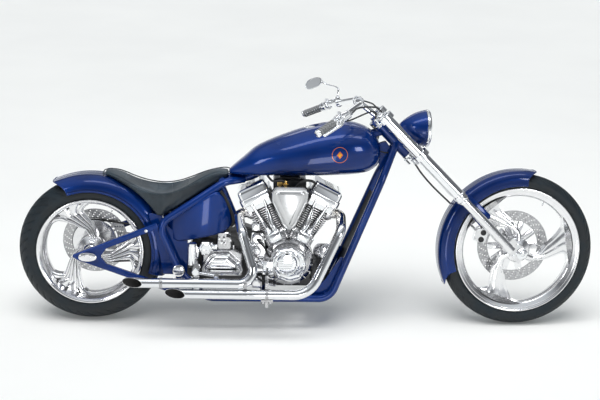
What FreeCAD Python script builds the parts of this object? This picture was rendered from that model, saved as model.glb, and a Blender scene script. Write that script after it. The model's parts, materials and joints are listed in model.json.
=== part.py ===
import FreeCAD, Part
import math
import os
import Sketcher
from FreeCAD import Placement, Rotation, Vector

# Chopper motorcycle, in millimetres.
# Every piece is modelled on the upright machine: X forward from the rear axle, Y to the rider's left,
# Z up from the ground line under the wheels. The placement "stand" then leans the whole machine on
# its side stand and puts the origin under the middle of it.

doc = FreeCAD.newDocument("Chopper")
sheet = doc.addObject("Spreadsheet::Sheet", "Sizes")

sizes = {
    "wheelbase": (1940, "rear axle to front axle"),
    "rake": (45, "fork angle from upright, degrees"),
    "leanAngle": (6, "lean on the side stand, degrees"),
    "sideShift": (82, "middle of the leaning machine, across"),
    "steerTurn": (4, "steering turned to the left as the machine parks, degrees"),
    "stemSetback": (55, "steering axis behind the front axle"),
    "axleLead": (22, "front axle ahead of the fork tubes"),
    "runningGap": (0.05, "radial play of a turning fit"),
    "seam": (0.3, "gap between close faces"),
    "axleRadius": (12.5, "both axles"),
    "frontAxleBore": (8, "hollow of the front axle"),
    "frontTyre": (350, "outer radius"),
    "frontCrown": (55, "tread curve radius"),
    "frontShoulder": (50, "half width where the tread curve ends"),
    "frontBead": (38, "half width at the bead"),
    "frontSeat": (272, "bead seat radius"),
    "frontLip": (288, "rim lip radius"),
    "frontLipHalf": (43, "half width over the lips"),
    "frontBarrel": (258, "inner radius of the rim"),
    "frontDiscRight": (14, "right face of the spokes"),
    "frontDiscLeft": (10, "left face of the spokes"),
    "frontHub": (30, "hub radius"),
    "frontHubRight": (62, "hub, right of the middle"),
    "frontWindowOuter": (248, "spoke window, outer radius"),
    "frontWindowInner": (84, "spoke window, inner radius"),
    "frontSpokeTurn": (10, "end of the first spoke above the forward direction, degrees"),
    "rearTyre": (327, "outer radius"),
    "rearCrown": (95, "tread curve radius"),
    "rearShoulder": (88, "half width where the tread curve ends"),
    "rearBead": (78, "half width at the bead"),
    "rearSeat": (231, "bead seat radius"),
    "rearLip": (240, "rim lip radius"),
    "rearLipHalf": (84, "half width over the lips"),
    "rearBarrel": (218, "inner radius of the rim"),
    "rearDiscRight": (12, "right face of the spokes"),
    "rearDiscLeft": (18, "left face of the spokes"),
    "rearHub": (34, "hub radius"),
    "rearHubRight": (66, "hub, right of the middle"),
    "rearHubLeft": (132, "hub, left of the middle"),
    "rearWindowOuter": (203, "spoke window, outer radius"),
    "rearWindowInner": (72, "spoke window, inner radius"),
    "rearSpokeTurn": (-1, "end of the first spoke above the forward direction, degrees"),
    "frontDisc": (165, "brake disc radius"),
    "frontDiscAt": (67, "brake disc, left of the middle"),
    "rearDisc": (150, "brake disc radius"),
    "rearDiscAt": (128, "brake disc, left of the middle"),
    "discThick": (5, "brake disc thickness"),
    "pulley": (100, "rear pulley radius"),
    "gearPulley": (44, "gearbox pulley radius"),
    "beltAt": (113, "middle of the belt, left"),
    "beltWide": (18, "belt width"),
    "beltThick": (4, "belt thickness"),
    "frontFender": (369, "outer radius"),
    "frontFenderEdge": (303, "radius at the side edge"),
    "frontFenderHalf": (66, "half width"),
    "frontFenderCorner": (42, "corner radius"),
    "frontFenderSpan": (129, "arc, degrees"),
    "rearFender": (349, "outer radius"),
    "rearFenderEdge": (280, "radius at the side edge"),
    "rearFenderHalf": (100, "half width"),
    "rearFenderCorner": (62, "corner radius"),
    "rearFenderSpan": (132, "arc, degrees"),
    "fenderWall": (3, "sheet thickness"),
    "frameTube": (17, "radius of the cradle tubes"),
    "backboneTube": (20, "radius of the backbone"),
    "strutTube": (13, "radius of the rear struts"),
    "neckRadius": (30, "steering head radius"),
    "neckLow": (667, "lower end of the neck above the axle, along the fork"),
    "neckHigh": (863, "upper end of the neck"),
    "stemRadius": (15, "steering stem radius"),
    "cradleHalf": (128, "half width of the lower rails"),
    "sideHalf": (142, "half width at the rear side tubes"),
    "plateAt": (150, "axle plates, out from the middle"),
    "plateThick": (12, "axle plate thickness"),
    "forkHalf": (105, "fork tubes, out from the middle"),
    "forkTube": (27, "upper fork tube radius"),
    "forkLeg": (21, "lower fork leg radius"),
    "forkSplit": (395, "end of the upper tube above the axle"),
    "forkTop": (894, "top of the fork above the axle"),
    "clampThick": (24, "thickness of each triple clamp"),
    "barRadius": (12.7, "handlebar tube"),
    "gripRadius": (17, "grip radius"),
    "gripLong": (118, "grip length"),
    "mirrorThread": (4, "threaded hole for a mirror stem, radius"),
    "tankCap": (34, "filler cap radius"),
    "headlight": (82, "headlight radius"),
    "headlightLong": (126, "headlight shell length"),
    "bezelRim": (4, "bezel beyond the shell"),
    "crankX": (893, "crankshaft, forward of the rear axle"),
    "crankZ": (292, "crankshaft above the ground line"),
    "veeHalf": (27, "cylinder angle from upright, degrees"),
    "caseRadius": (112, "crankcase radius"),
    "caseHalf": (85, "crankcase half width"),
    "deck": (160, "cylinder base above the crankshaft"),
    "headTop": (318, "top of the cylinder head above the crankshaft"),
    "rockerTop": (392, "top of the rocker box above the crankshaft"),
    "cylinderWide": (124, "cylinder, front to back"),
    "cylinderDeep": (130, "cylinder, side to side"),
    "rockerWide": (150, "rocker box, front to back"),
    "camCover": (54, "cam cover radius"),
    "gearX": (600, "gearbox output shaft, forward"),
    "gearZ": (305, "gearbox output shaft, up"),
    "primaryFront": (92, "primary cover radius at the crankshaft"),
    "primaryRear": (80, "primary cover radius at the clutch"),
    "primaryThick": (42, "primary cover thickness"),
    "pipeRadius": (22, "exhaust pipe radius"),
    "pipeBore": (19.5, "open end of an exhaust pipe"),
    "pipeSlant": (92, "length of an exhaust pipe's slanted end"),
    "pipeOut": (250, "exhaust pipes, out to the right"),
    "upperPipeZ": (237, "upper exhaust pipe"),
    "lowerPipeZ": (189, "lower exhaust pipe"),
    "standPin": (8, "side stand pivot radius"),
    "standFootY": (300, "side stand foot, out to the left"),
    "standFootX": (805, "side stand foot, forward"),
    "hoseRadius": (4, "brake hose radius"),
    "cableRadius": (3, "clutch and throttle cable radius"),
    "mirrorLong": (58, "mirror, half its length"),
    "mirrorHigh": (26, "mirror, half its height"),
    "mirrorThick": (14, "mirror shell thickness"),
    "glassThick": (3.5, "mirror glass thickness"),
    "riserRadius": (12.5, "handlebar risers"),
    "leverRadius": (5.5, "hand levers"),
    "pegRadius": (13, "foot pegs"),
    "pedalRadius": (6, "pedal arms"),
    "rodTube": (8.5, "push-rod tube radius"),
    "portUp": (280, "exhaust ports above the crankshaft, along the cylinder"),
    "caliperTall": (68, "brake calipers, along the disc's edge"),
    "caliperDeep": (58, "brake calipers, towards the axle"),
    "standLeg": (10, "side stand leg radius"),
    "standHead": (19, "side stand head radius"),
    "standFoot": (24, "side stand foot radius"),
    "footThick": (8, "side stand foot thickness"),
}
for row, (alias, (value, note)) in enumerate(sizes.items(), start=1):
    sheet.set(f"A{row}", alias)
    sheet.set(f"B{row}", str(value))
    sheet.set(f"C{row}", note)
    sheet.setAlias(f"B{row}", alias)
doc.recompute()


def size(expression):
    """Number for an expression over the sheet's aliases."""
    return float(sheet.evalExpression(expression))


def turn(axis, degrees):
    return Rotation(Vector(*axis), degrees)


def at(x, y, z, rotation=None):
    return Placement(Vector(x, y, z), rotation or Rotation())


lean = size("leanAngle")
leanCos = math.cos(math.radians(lean))
leanTan = math.tan(math.radians(lean))


def axleHeight(end):
    crown = size(end + "Crown")
    return size(end + "Tyre") - crown + crown / leanCos


wheelbase = size("wheelbase")
rearHeight = axleHeight("rear")
middleX = (wheelbase + size("frontTyre") - size("rearTyre")) / 2
stand = at(-middleX, -size("sideShift"), 0, turn((1, 0, 0), -lean))


def steering(height):
    """Turn of the parked steering about its own axis, with the front axle at a height."""
    setback = Vector(-size("stemSetback"), 0, 0)
    foot = at(wheelbase, 0, height, turn((0, 1, 0), -size("rake"))).multVec(setback)
    upFork = turn((0, 1, 0), -size("rake")).multVec(Vector(0, 0, 1))
    return Placement(Vector(0, 0, 0), Rotation(upFork, size("steerTurn")), foot)


# the turned and leaning front wheel still touches the floor
frontHeight = axleHeight("front")
frontPose = stand * steering(frontHeight)
wheelTilt = frontPose.Rotation.multVec(Vector(0, 1, 0)).z
frontDrop = size("frontTyre - frontCrown") * math.sqrt(1 - wheelTilt ** 2) + size("frontCrown")
frontHeight -= (frontPose.multVec(Vector(wheelbase, 0, frontHeight)).z - frontDrop) / leanCos
turned = stand * steering(frontHeight)
frontWheelPlace = at(wheelbase, 0, frontHeight)
rearWheelPlace = at(0, 0, rearHeight)
# in the fork's own frame X is ahead of the fork tubes, Y left and Z up along them from the front axle
forkPlace = at(wheelbase, 0, frontHeight, turn((0, 1, 0), -size("rake")))
alongY = turn((1, 0, 0), -90)


def fork(ahead, side, up):
    """Point of the upright machine, given in the fork's frame."""
    return forkPlace.multVec(Vector(ahead, side, up))


# ---- helpers: bound sketches, primitives and tubes

nodes = []


def keep(item, label, place=None, pose=stand):
    """Name a sub-part and lean it with the machine, from its place on the upright one."""
    item.Label = label
    item.Placement = pose * (place or item.Placement)
    nodes.append(item)
    return item


def upright(item, pose=stand):
    """Shape of a kept sub-part, back on the upright machine."""
    shape = item.Shape.copy()
    shape.Placement = pose.inverse() * item.Placement
    return shape


def newBody(name):
    return doc.addObject("PartDesign::Body", name)


def plane(body, role):
    return [feature for feature in body.Origin.OriginFeatures if feature.Role == role][0]


def outline(body, name, role, points):
    """Closed sketch. Each point is (x, y) or (x, y, radius, side): an arc to the next point,
    with its centre to the left (1) or right (-1) of the way along it."""
    sketch = body.newObject("Sketcher::SketchObject", name)
    sketch.AttachmentSupport = [(plane(body, role), "")]
    sketch.MapMode = "FlatFace"
    spots = [Vector(size(point[0]), size(point[1]), 0) for point in points]
    ends = []
    for index, point in enumerate(points):
        start = spots[index]
        finish = spots[(index + 1) % len(points)]
        if len(point) == 2:
            sketch.addGeometry(Part.LineSegment(start, finish), False)
            ends.append((1, 2))
            continue
        radius = size(point[2])
        chord = finish - start
        left = Vector(-chord.y, chord.x, 0).normalize()
        reach = math.sqrt(max(radius ** 2 - (chord.Length / 2) ** 2, 0))
        centre = (start + finish) * 0.5 + left * (reach * point[3])
        first, last = (start, finish) if point[3] > 0 else (finish, start)
        angles = [math.atan2(spot.y - centre.y, spot.x - centre.x) for spot in (first, last)]
        circle = Part.Circle(centre, Vector(0, 0, 1), radius)
        sketch.addGeometry(Part.ArcOfCircle(circle, angles[0], angles[1]), False)
        ends.append((1, 2) if point[3] > 0 else (2, 1))
    for index in range(len(points)):
        following = (index + 1) % len(points)
        link = Sketcher.Constraint("Coincident", index, ends[index][1], following, ends[following][0])
        sketch.addConstraint(link)
    for index, point in enumerate(points):
        begin = ends[index][0]
        for kind, value, text in (
            ("DistanceX", spots[index].x, point[0]),
            ("DistanceY", spots[index].y, point[1]),
        ):
            number = sketch.addConstraint(Sketcher.Constraint(kind, -1, 1, index, begin, value))
            sketch.setExpression(f"Constraints[{number}]", bound(text))
        if len(point) > 2:
            number = sketch.addConstraint(Sketcher.Constraint("Radius", index, size(point[2])))
            sketch.setExpression(f"Constraints[{number}]", bound(point[2]))
    return sketch


def bound(text):
    """The same expression, with each alias read from the sheet."""
    words = []
    word = ""
    for letter in text + " ":
        if letter.isalnum() or letter == ".":
            word += letter
            continue
        words.append("Sizes." + word if word in sizes else word)
        words.append(letter)
        word = ""
    return "".join(words).strip()


def revolve(body, name, points, axis="V_Axis", angle="360", backwards=False):
    sketch = outline(body, name + "Outline", "XY_Plane", points)
    spin = body.newObject("PartDesign::Revolution", name)
    spin.Profile = sketch
    spin.ReferenceAxis = (sketch, [axis])
    spin.setExpression("Angle", bound(angle))
    spin.Reversed = backwards
    doc.recompute()
    return sketch


def windows(body, axisSketch, points, count):
    """Openings cut right through, repeated about the body's own Y axis."""
    pocket = body.newObject("PartDesign::Pocket", "window")
    pocket.Profile = outline(body, "windowOutline", "XZ_Plane", points)
    pocket.Type = "ThroughAll"
    pocket.Midplane = True
    doc.recompute()
    ring = body.newObject("PartDesign::PolarPattern", "windows")
    ring.Originals = [pocket]
    ring.Axis = (axisSketch, ["V_Axis"])
    ring.Angle = 360
    ring.Occurrences = count
    body.Tip = ring
    doc.recompute()


def cylinder(name, radius, length, place):
    item = doc.addObject("Part::Cylinder", name)
    item.setExpression("Radius", bound(radius))
    item.setExpression("Height", bound(length))
    item.Placement = place
    return item


def across(name, radius, start, finish, x, z):
    """Cylinder along Y between two expressions."""
    return cylinder(name, radius, f"({finish}) - ({start})", at(x, size(start), z, alongY))


def block(name, long, wide, high, place):
    """Box centred on a placement."""
    item = doc.addObject("Part::Box", name)
    for side, text in (("Length", long), ("Width", wide), ("Height", high)):
        item.setExpression(side, bound(text))
    item.Placement = place * at(-size(long) / 2, -size(wide) / 2, -size(high) / 2)
    return item


def fuse(name, items):
    item = doc.addObject("Part::MultiFuse", name)
    item.Shapes = items
    return item


def cut(name, base, tool):
    item = doc.addObject("Part::Cut", name)
    item.Base = base
    item.Tool = tool
    return item


def solidFeature(name, shape):
    item = doc.addObject("Part::Feature", name)
    item.Shape = shape
    return item


def path(points):
    """Wire of straight runs and tangent arcs. Each point is (x, y, z, bend radius)."""
    spots = [Vector(*point[:3]) for point in points]
    edges = []
    start = spots[0]
    for index in range(1, len(points) - 1):
        corner = spots[index]
        back = (spots[index - 1] - corner).normalize()
        ahead = (spots[index + 1] - corner).normalize()
        half = back.getAngle(ahead) / 2
        bend = points[index][3]
        reach = bend / math.tan(half)
        first = corner + back * reach
        last = corner + ahead * reach
        middle = corner + (back + ahead).normalize() * (bend / math.sin(half) - bend)
        if (first - start).Length > 0.01:
            edges.append(Part.LineSegment(start, first).toShape())
        edges.append(Part.Arc(first, middle, last).toShape())
        start = last
    edges.append(Part.LineSegment(start, spots[-1]).toShape())
    return Part.Wire(edges)


def tube(points, radius):
    """Round bar along a path, its volume compared with section times length."""
    way = path(points)
    start = Vector(*points[0][:3])
    heading = (Vector(*points[1][:3]) - start).normalize()
    ring = Part.Wire([Part.Circle(start, heading, radius).toShape()])
    body = way.makePipeShell([ring], True, False)
    expected = math.pi * radius ** 2 * way.Length
    if not body.isValid() or abs(body.Volume / expected - 1) > 0.01:
        raise ValueError(f"tube from {points[0]}: volume {body.Volume:.0f}, expected {expected:.0f}")
    return body


def bar(start, finish, radius):
    """Straight round bar between two vectors."""
    return Part.makeCylinder(radius, (finish - start).Length, start, finish - start)


def joined(shapes):
    return shapes[0].multiFuse(shapes[1:]).removeSplitter()


def profile(points, low, high):
    """Prism of an XZ outline between two values of Y. Each point is (x, z) or (x, z, xVia, zVia),
    where the edge to the next point is an arc through the second pair."""
    edges = []
    for index, point in enumerate(points):
        following = points[(index + 1) % len(points)]
        start = Vector(point[0], low, point[1])
        finish = Vector(following[0], low, following[1])
        if len(point) == 2:
            edges.append(Part.LineSegment(start, finish).toShape())
        else:
            edges.append(Part.Arc(start, Vector(point[2], low, point[3]), finish).toShape())
    return Part.Face(Part.Wire(edges)).extrude(Vector(0, high - low, 0))


def mirrored(shape):
    return shape.mirror(Vector(0, 0, 0), Vector(0, 1, 0))


def disc(radius, low, high, x, z):
    """Cylinder shape along Y."""
    return Part.makeCylinder(radius, high - low, Vector(x, low, z), Vector(0, 1, 0))


# ---- wheels: tyre, rim with three swept spokes, brake disc, pulley

for end, place, pose in (("front", frontWheelPlace, turned), ("rear", rearWheelPlace, stand)):
    crownEdge = f"{end}Tyre - {end}Crown + sqrt({end}Crown^2 - {end}Shoulder^2)"
    tyre = newBody(end + "Tyre")
    revolve(tyre, end + "TyreSpin", [
        (f"{end}Seat", f"-{end}Bead"),
        (f"{end}Lip + 1", f"-{end}Bead"),
        (crownEdge, f"-{end}Shoulder", f"{end}Crown", 1),
        (crownEdge, f"{end}Shoulder"),
        (f"{end}Lip + 1", f"{end}Bead"),
        (f"{end}Seat", f"{end}Bead"),
    ])
    keep(tyre, end + "_tyre", place, pose)

    hubLeft = "frontDiscAt - discThick / 2" if end == "front" else "rearHubLeft"
    rim = newBody(end + "Rim")
    rimOutline = revolve(rim, end + "RimSpin", [
        ("axleRadius + runningGap", f"-{end}HubRight"),
        (f"{end}Hub", f"-{end}HubRight"),
        (f"{end}Hub", f"-{end}DiscRight"),
        (f"{end}Barrel", f"-{end}DiscRight"),
        (f"{end}Barrel + 10", f"-{end}LipHalf"),
        (f"{end}Lip", f"-{end}LipHalf"),
        (f"{end}Lip", f"-{end}Bead - seam"),
        (f"{end}Seat - runningGap", f"-{end}Bead - seam"),
        (f"{end}Seat - runningGap", f"{end}Bead + seam"),
        (f"{end}Lip", f"{end}Bead + seam"),
        (f"{end}Lip", f"{end}LipHalf"),
        (f"{end}Barrel + 10", f"{end}LipHalf"),
        (f"{end}Barrel", f"{end}DiscLeft"),
        (f"{end}Hub", f"{end}DiscLeft"),
        (f"{end}Hub", hubLeft),
        ("axleRadius + runningGap", hubLeft),
    ])
    outer = f"{end}WindowOuter"
    inner = f"{end}WindowInner"
    corner = f"{outer} - 26"
    windows(rim, rimOutline, [
        (f"{outer} * cos(-37 deg)", f"{outer} * sin(-37 deg)", outer, 1),
        (f"{outer} * cos(37 deg)", f"{outer} * sin(37 deg)", f"{outer} * 0.13", 1),
        (f"({corner}) * cos(44.5 deg)", f"({corner}) * sin(44.5 deg)"),
        (f"{inner} * cos(13 deg)", f"{inner} * sin(13 deg)", inner, -1),
        (f"{inner} * cos(-90 deg)", f"{inner} * sin(-90 deg)"),
        (f"({corner}) * cos(-44.5 deg)", f"({corner}) * sin(-44.5 deg)", f"{outer} * 0.13", 1),
    ], 3)
    windowTurn = turn((0, 1, 0), -60 - size(end + "SpokeTurn"))
    keep(rim, end + "_rim", place * at(0, 0, 0, windowTurn), pose)

    brake = newBody(end + "BrakeDisc")
    middle = f"{end}DiscAt"
    bore = "axleRadius + 1" if end == "front" else "rearHub + runningGap"
    brakeOutline = revolve(brake, end + "DiscSpin", [
        (bore, f"{middle} - discThick / 2"),
        (f"{end}Disc", f"{middle} - discThick / 2"),
        (f"{end}Disc", f"{middle} + discThick / 2"),
        (bore, f"{middle} + discThick / 2"),
    ])
    far = f"{end}Disc - 38"
    near = f"{end}Hub + 14"
    windows(brake, brakeOutline, [
        (f"({far}) * cos(-24 deg)", f"({far}) * sin(-24 deg)", far, 1),
        (f"({far}) * cos(24 deg)", f"({far}) * sin(24 deg)"),
        (f"({near}) * cos(14 deg)", f"({near}) * sin(14 deg)", near, -1),
        (f"({near}) * cos(-14 deg)", f"({near}) * sin(-14 deg)"),
    ], 5)
    keep(brake, end + "_brake_disc", place, pose)

pulleyBody = newBody("rearPulley")
revolve(pulleyBody, "pulleySpin", [
    ("rearHub + runningGap", "beltAt - beltWide / 2 - 4"),
    ("pulley - 3", "beltAt - beltWide / 2 - 4"),
    ("pulley", "beltAt - beltWide / 2 - 1"),
    ("pulley", "beltAt + beltWide / 2"),
    ("rearHub + runningGap", "beltAt + beltWide / 2"),
])
keep(pulleyBody, "rear_pulley", rearWheelPlace)

# ---- fenders: an arched sheet with deep sides, turned about the axle

for end, place, start in (("front", frontWheelPlace, 78), ("rear", rearWheelPlace, -13)):
    top = f"{end}Fender"
    half = f"{end}FenderHalf"
    corner = f"{end}FenderCorner"
    fender = newBody(end + "Fender")
    revolve(fender, end + "FenderSpin", [
        (f"{end}FenderEdge", f"-{half}"),
        (f"{top} - {corner}", f"-{half}", corner, 1),
        (top, f"-{half} + {corner}"),
        (top, f"{half} - {corner}", corner, 1),
        (f"{top} - {corner}", half),
        (f"{end}FenderEdge", half),
        (f"{end}FenderEdge", f"{half} - fenderWall"),
        (f"{top} - {corner}", f"{half} - fenderWall", f"{corner} - fenderWall", -1),
        (f"{top} - fenderWall", f"{half} - {corner}"),
        (f"{top} - fenderWall", f"-{half} + {corner}", f"{corner} - fenderWall", -1),
        (f"{top} - {corner}", f"-{half} + fenderWall"),
        (f"{end}FenderEdge", f"-{half} + fenderWall"),
    ], angle=f"{end}FenderSpan", backwards=True)
    fenderPlace = place * at(0, 0, 0, turn((0, 1, 0), -start))
    if end == "rear":
        rearFender = keep(fender, "rear_fender", fenderPlace)
    else:
        fender.Placement = fenderPlace

# the front fender's ears reach in to bosses on the fork legs
forkAhead = -size("axleLead")
frontFenderParts = [doc.getObject("frontFender")]
for side in (-1, 1):
    ear = block(f"ear{side + 1}", "88", "fenderWall", "150",
                forkPlace * at(forkAhead + 8, side * size("frontFenderHalf - fenderWall / 2"), 292))
    frontFenderParts.append(ear)
    for up in (255, 325):
        spot = fork(forkAhead, 0, up)
        edge = size("forkHalf - forkLeg * 0.8")
        low = min(side * size("frontFenderHalf"), side * edge)
        boss = doc.addObject("Part::Cylinder", f"boss{side + 1}{up}")
        boss.Radius = 11
        boss.setExpression("Height", bound("forkHalf - forkLeg * 0.8 - frontFenderHalf"))
        boss.Placement = at(spot.x, low, spot.z, alongY)
        frontFenderParts.append(boss)
fenderWhole = fuse("frontFenderWhole", frontFenderParts)

# ---- frame: neck, backbone, two cradle loops, seat post and cross tubes

tubeRadius = size("frameTube")
cradle = size("cradleHalf")
sideHalf = size("sideHalf")
neckAxis = -size("stemSetback")


def neckPoint(up):
    return fork(neckAxis, 0, up)


downTop = neckPoint(752)
backTop = neckPoint(825)
# columns: x, y, z, bend radius
loopPoints = [
    (downTop.x, 14, downTop.z, 0),
    (1300, 92, 676, 160),
    (1082, cradle, 137, 78),
    (522, cradle + 6, 137, 85),
    (402, sideHalf, 268, 130),
    (310, sideHalf, 472, 62),
    (600, 66, 655, 90),
    (686, 12, 659, 0),
]
backPoints = [
    (600, 0, 655, 0),
    (712, 0, 668, 120),
    (812, 0, 726, 120),
    (backTop.x, 0, backTop.z, 0),
]
loop = tube(loopPoints, tubeRadius)
neckBar = bar(neckPoint(size("neckLow")), neckPoint(size("neckHigh")), size("neckRadius"))
standPivot = Vector(760, 176, 150)
standFoot = Vector(size("standFootX"), size("standFootY"), size("standFootY") * leanTan)
standLeg = (standFoot - standPivot).normalize()
stowed = Vector(-1, 0.08, 0.05).normalize()
standAxis = standLeg.cross(stowed).normalize()
lugLow = standPivot - standAxis * 27
framePieces = [
    neckBar,
    tube(backPoints, size("backboneTube")),
    loop,
    mirrored(loop),
    bar(Vector(578, 0, 640), Vector(786, 0, 150), tubeRadius),  # seat post
    bar(Vector(590, -66, 655), Vector(590, 66, 655), tubeRadius),  # under the seat's nose
    bar(Vector(782, -cradle, 137), Vector(782, cradle, 137), tubeRadius),  # below the engine
    bar(Vector(402, -sideHalf, 268), Vector(402, sideHalf, 268), tubeRadius),  # behind the gearbox
    bar(Vector(1070, -cradle, 150), Vector(1070, cradle, 150), tubeRadius),  # ahead of the engine
    bar(lugLow, standPivot - standAxis * 11.5, 20),  # side stand lug
    bar(lugLow + standAxis * 3, Vector(760, cradle + 1, 137), 12),
    bar(Vector(402, 0, 268), Vector(343, 0, 275), 12),  # lower mount of the rear fender
]
stemHole = bar(neckPoint(size("neckLow") - 5), neckPoint(size("neckHigh") + 5),
               size("stemRadius + runningGap"))
pinHole = bar(standPivot - standAxis * 30, standPivot + standAxis, size("standPin"))
frameShape = joined(framePieces).cut(stemHole).cut(pinHole).cut(upright(rearFender))
keep(solidFeature("frame", frameShape), "frame")

# rear struts and axle plates with the fender's mounts
fenderShell = upright(rearFender)
struts = []
for side in (-1, 1):
    plateLow = size("plateAt - plateThick / 2")
    plateHigh = size("plateAt + plateThick / 2")
    plate = profile([
        (-62, rearHeight - 12, -74, rearHeight + 4),
        (-52, rearHeight + 30),
        (150, rearHeight + 92),
        (168, rearHeight + 60, 140, rearHeight - 5),
        (150, rearHeight - 78),
        (-10, rearHeight - 34),
    ], plateLow, plateHigh)
    upper = bar(Vector(60, plateLow + 5, rearHeight + 42), Vector(312, sideHalf, 470), size("strutTube"))
    mount = disc(9, size("rearFenderHalf - 2"), plateLow, 258, 449)
    lower = bar(Vector(60, plateLow + 5, rearHeight - 38), Vector(452, cradle + 12, 152), size("strutTube"))
    strut = joined([plate, upper, lower, mount])
    strut = strut.cut(disc(size("axleRadius") + 0.1, 0, 300, 0, rearHeight))
    if side < 0:
        strut = mirrored(strut)
    struts.append(strut.cut(frameShape).cut(fenderShell))
keep(solidFeature("rear_struts", Part.makeCompound(struts)), "rear_struts")

# rear axle with its spacers, and the chrome covers
rearAxle = fuse("rearAxleWhole", [
    across("rearAxle", "axleRadius", "-plateAt - 24", "plateAt + 24", 0, rearHeight),
    across("rearSpacerRight", "20", "-plateAt + plateThick / 2", "-rearHubRight - 1.5", 0, rearHeight),
    across("rearSpacerLeft", "20", "rearHubLeft + 1.5", "plateAt - plateThick / 2", 0, rearHeight),
])
keep(rearAxle, "rear_axle")
caps = []
for side in (-1, 1):
    face = size("plateAt + plateThick / 2")
    oval = profile([
        (-22, rearHeight - 20, -42, rearHeight),
        (-22, rearHeight + 20),
        (22, rearHeight + 20, 42, rearHeight),
        (22, rearHeight - 20),
    ], face, face + 20)
    oval = oval.cut(disc(size("axleRadius") + 0.1, face - 1, size("plateAt") + 24, 0, rearHeight))
    pivot = disc(27, sideHalf + tubeRadius - 6, sideHalf + tubeRadius + 7, 402, 268)
    pair = [oval, pivot.cut(frameShape)]
    caps += [shape if side > 0 else mirrored(shape) for shape in pair]
keep(solidFeature("frame_caps", Part.makeCompound(caps)), "frame_caps")

# ---- fuel tank: lofted across a few stations, with a tunnel for the backbone

# columns: x, bottom, top, half width, height of the widest line as a share
tankStations = [
    (622, 679, 708, 34, 0.5),
    (760, 682, 820, 108, 0.42),
    (930, 684, 888, 146, 0.42),
    (1110, 690, 925, 152, 0.45),
    (1232, 704, 905, 128, 0.48),
    (1295, 760, 834, 56, 0.5),
]


def tankSection(x, bottom, top, half, share):
    rise = top - bottom
    wide = Vector(x, half, bottom + rise * share)
    low = Vector(x, half * 0.62, bottom)
    shoulder = Vector(x, half * 0.66, top - rise * 0.14)
    crest = Vector(x, 0, top)

    def other(spot):
        return Vector(spot.x, -spot.y, spot.z)

    return Part.Wire([
        Part.LineSegment(other(low), low).toShape(),
        Part.Arc(low, wide, shoulder).toShape(),
        Part.Arc(shoulder, crest, other(shoulder)).toShape(),
        Part.Arc(other(shoulder), other(wide), other(low)).toShape(),
    ])


tankShape = Part.makeLoft([tankSection(*station) for station in tankStations], True, False)
tunnelHalf = size("backboneTube") + 5
tunnelEdge = [
    (610, 600),
    (610, 658 + tunnelHalf),
    (712, 668 + tunnelHalf + 3),
    (812, 726 + tunnelHalf + 3),
    (backTop.x, backTop.z + tunnelHalf + 3),
    (backTop.x, 600),
]
tankShape = tankShape.cut(profile(tunnelEdge, -tunnelHalf, tunnelHalf))
capSeat = at(985, 0, 878)
tankShape = tankShape.cut(bar(capSeat.Base, capSeat.Base + Vector(0, 0, 60), size("tankCap + seam")))
keep(solidFeature("fuel_tank", tankShape), "fuel_tank")
keep(cylinder("tankCap", "tankCap", "32", capSeat), "tank_cap")

# ---- seat: side outline common with plan outline, resting on fender and rails

fenderTop = size("rearFender + seam")


def onFender(degrees):
    angle = math.radians(degrees)
    return (fenderTop * math.cos(angle), rearHeight + fenderTop * math.sin(angle))


tip = onFender(79.5)
heel = onFender(31.5)
under = onFender(55)
seatSide = profile([
    (heel[0], heel[1], under[0], under[1]),
    (tip[0], tip[1]),
    (70, 680, 104, 681),
    (138, 672),
    (240, 627, 318, 601),
    (400, 624),
    (484, 664, 545, 689),
    (604, 703, 616, 702),
    (618, 692),
    (604, 670),
], -150, 150)
# columns: x, half width
seatPlan = [(40, 48), (150, 92), (300, 132), (380, 126), (500, 84), (622, 44)]
planPoints = [Vector(x, half, 0) for x, half in seatPlan]
planPoints += [Vector(x, -half, 0) for x, half in reversed(seatPlan)]
seatPrism = Part.Face(Part.makePolygon(planPoints + planPoints[:1])).extrude(Vector(0, 0, 900))
keep(solidFeature("seat", seatSide.common(seatPrism).cut(frameShape)), "seat")

# ---- side tank between the rails, notched for the seat post

sideTank = profile([
    (356, 464),
    (552, 588),
    (642, 470),
    (556, 440),
    (402, 408),
], -108, 108)
sideTank = sideTank.cut(frameShape).cut(disc(fenderTop, -120, 120, 0, rearHeight))
keep(solidFeature("side_tank", sideTank), "side_tank")

# ---- engine: crankcase, two cylinders, two rocker boxes, covers and push-rod tubes

crankX = size("crankX")
crankZ = size("crankZ")
caseItems = [
    across("case", "caseRadius", "-caseHalf", "caseHalf", crankX, crankZ),
    across("caseNeck", "58", "caseHalf", "beltAt + beltWide / 2 + 4", crankX, crankZ),
]
barrels = []
rockers = []
for name, sign in (("rear", -1), ("front", 1)):
    leanBack = turn((0, 1, 0), sign * size("veeHalf"))
    vee = at(crankX, 0, crankZ, leanBack)
    caseItems.append(block(name + "Deck", "cylinderWide", "cylinderDeep", "deck - 40",
                           vee * at(0, 0, size("deck + 40") / 2)))
    tappets = block(name + "Tappets", "58", "34", "44", vee * at(0, -size("caseHalf") - 14, 150))
    caseItems.append(tappets)
    barrel = block(name + "Barrel", "cylinderWide", "cylinderDeep", "headTop - deck",
                   vee * at(0, 0, size("headTop + deck") / 2))
    barrels.append(barrel)
    rocker = block(name + "Rocker", "rockerWide", "cylinderDeep + 40", "rockerTop - headTop",
                   vee * at(0, -16, size("rockerTop + headTop") / 2))
    rockers.append(rocker)
caseItem = keep(fuse("crankcase", caseItems), "crankcase")
cylinderPair = keep(fuse("cylinderPair", barrels), "cylinders")
rockerPair = keep(fuse("rockerPair", rockers), "rocker_boxes")

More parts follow.
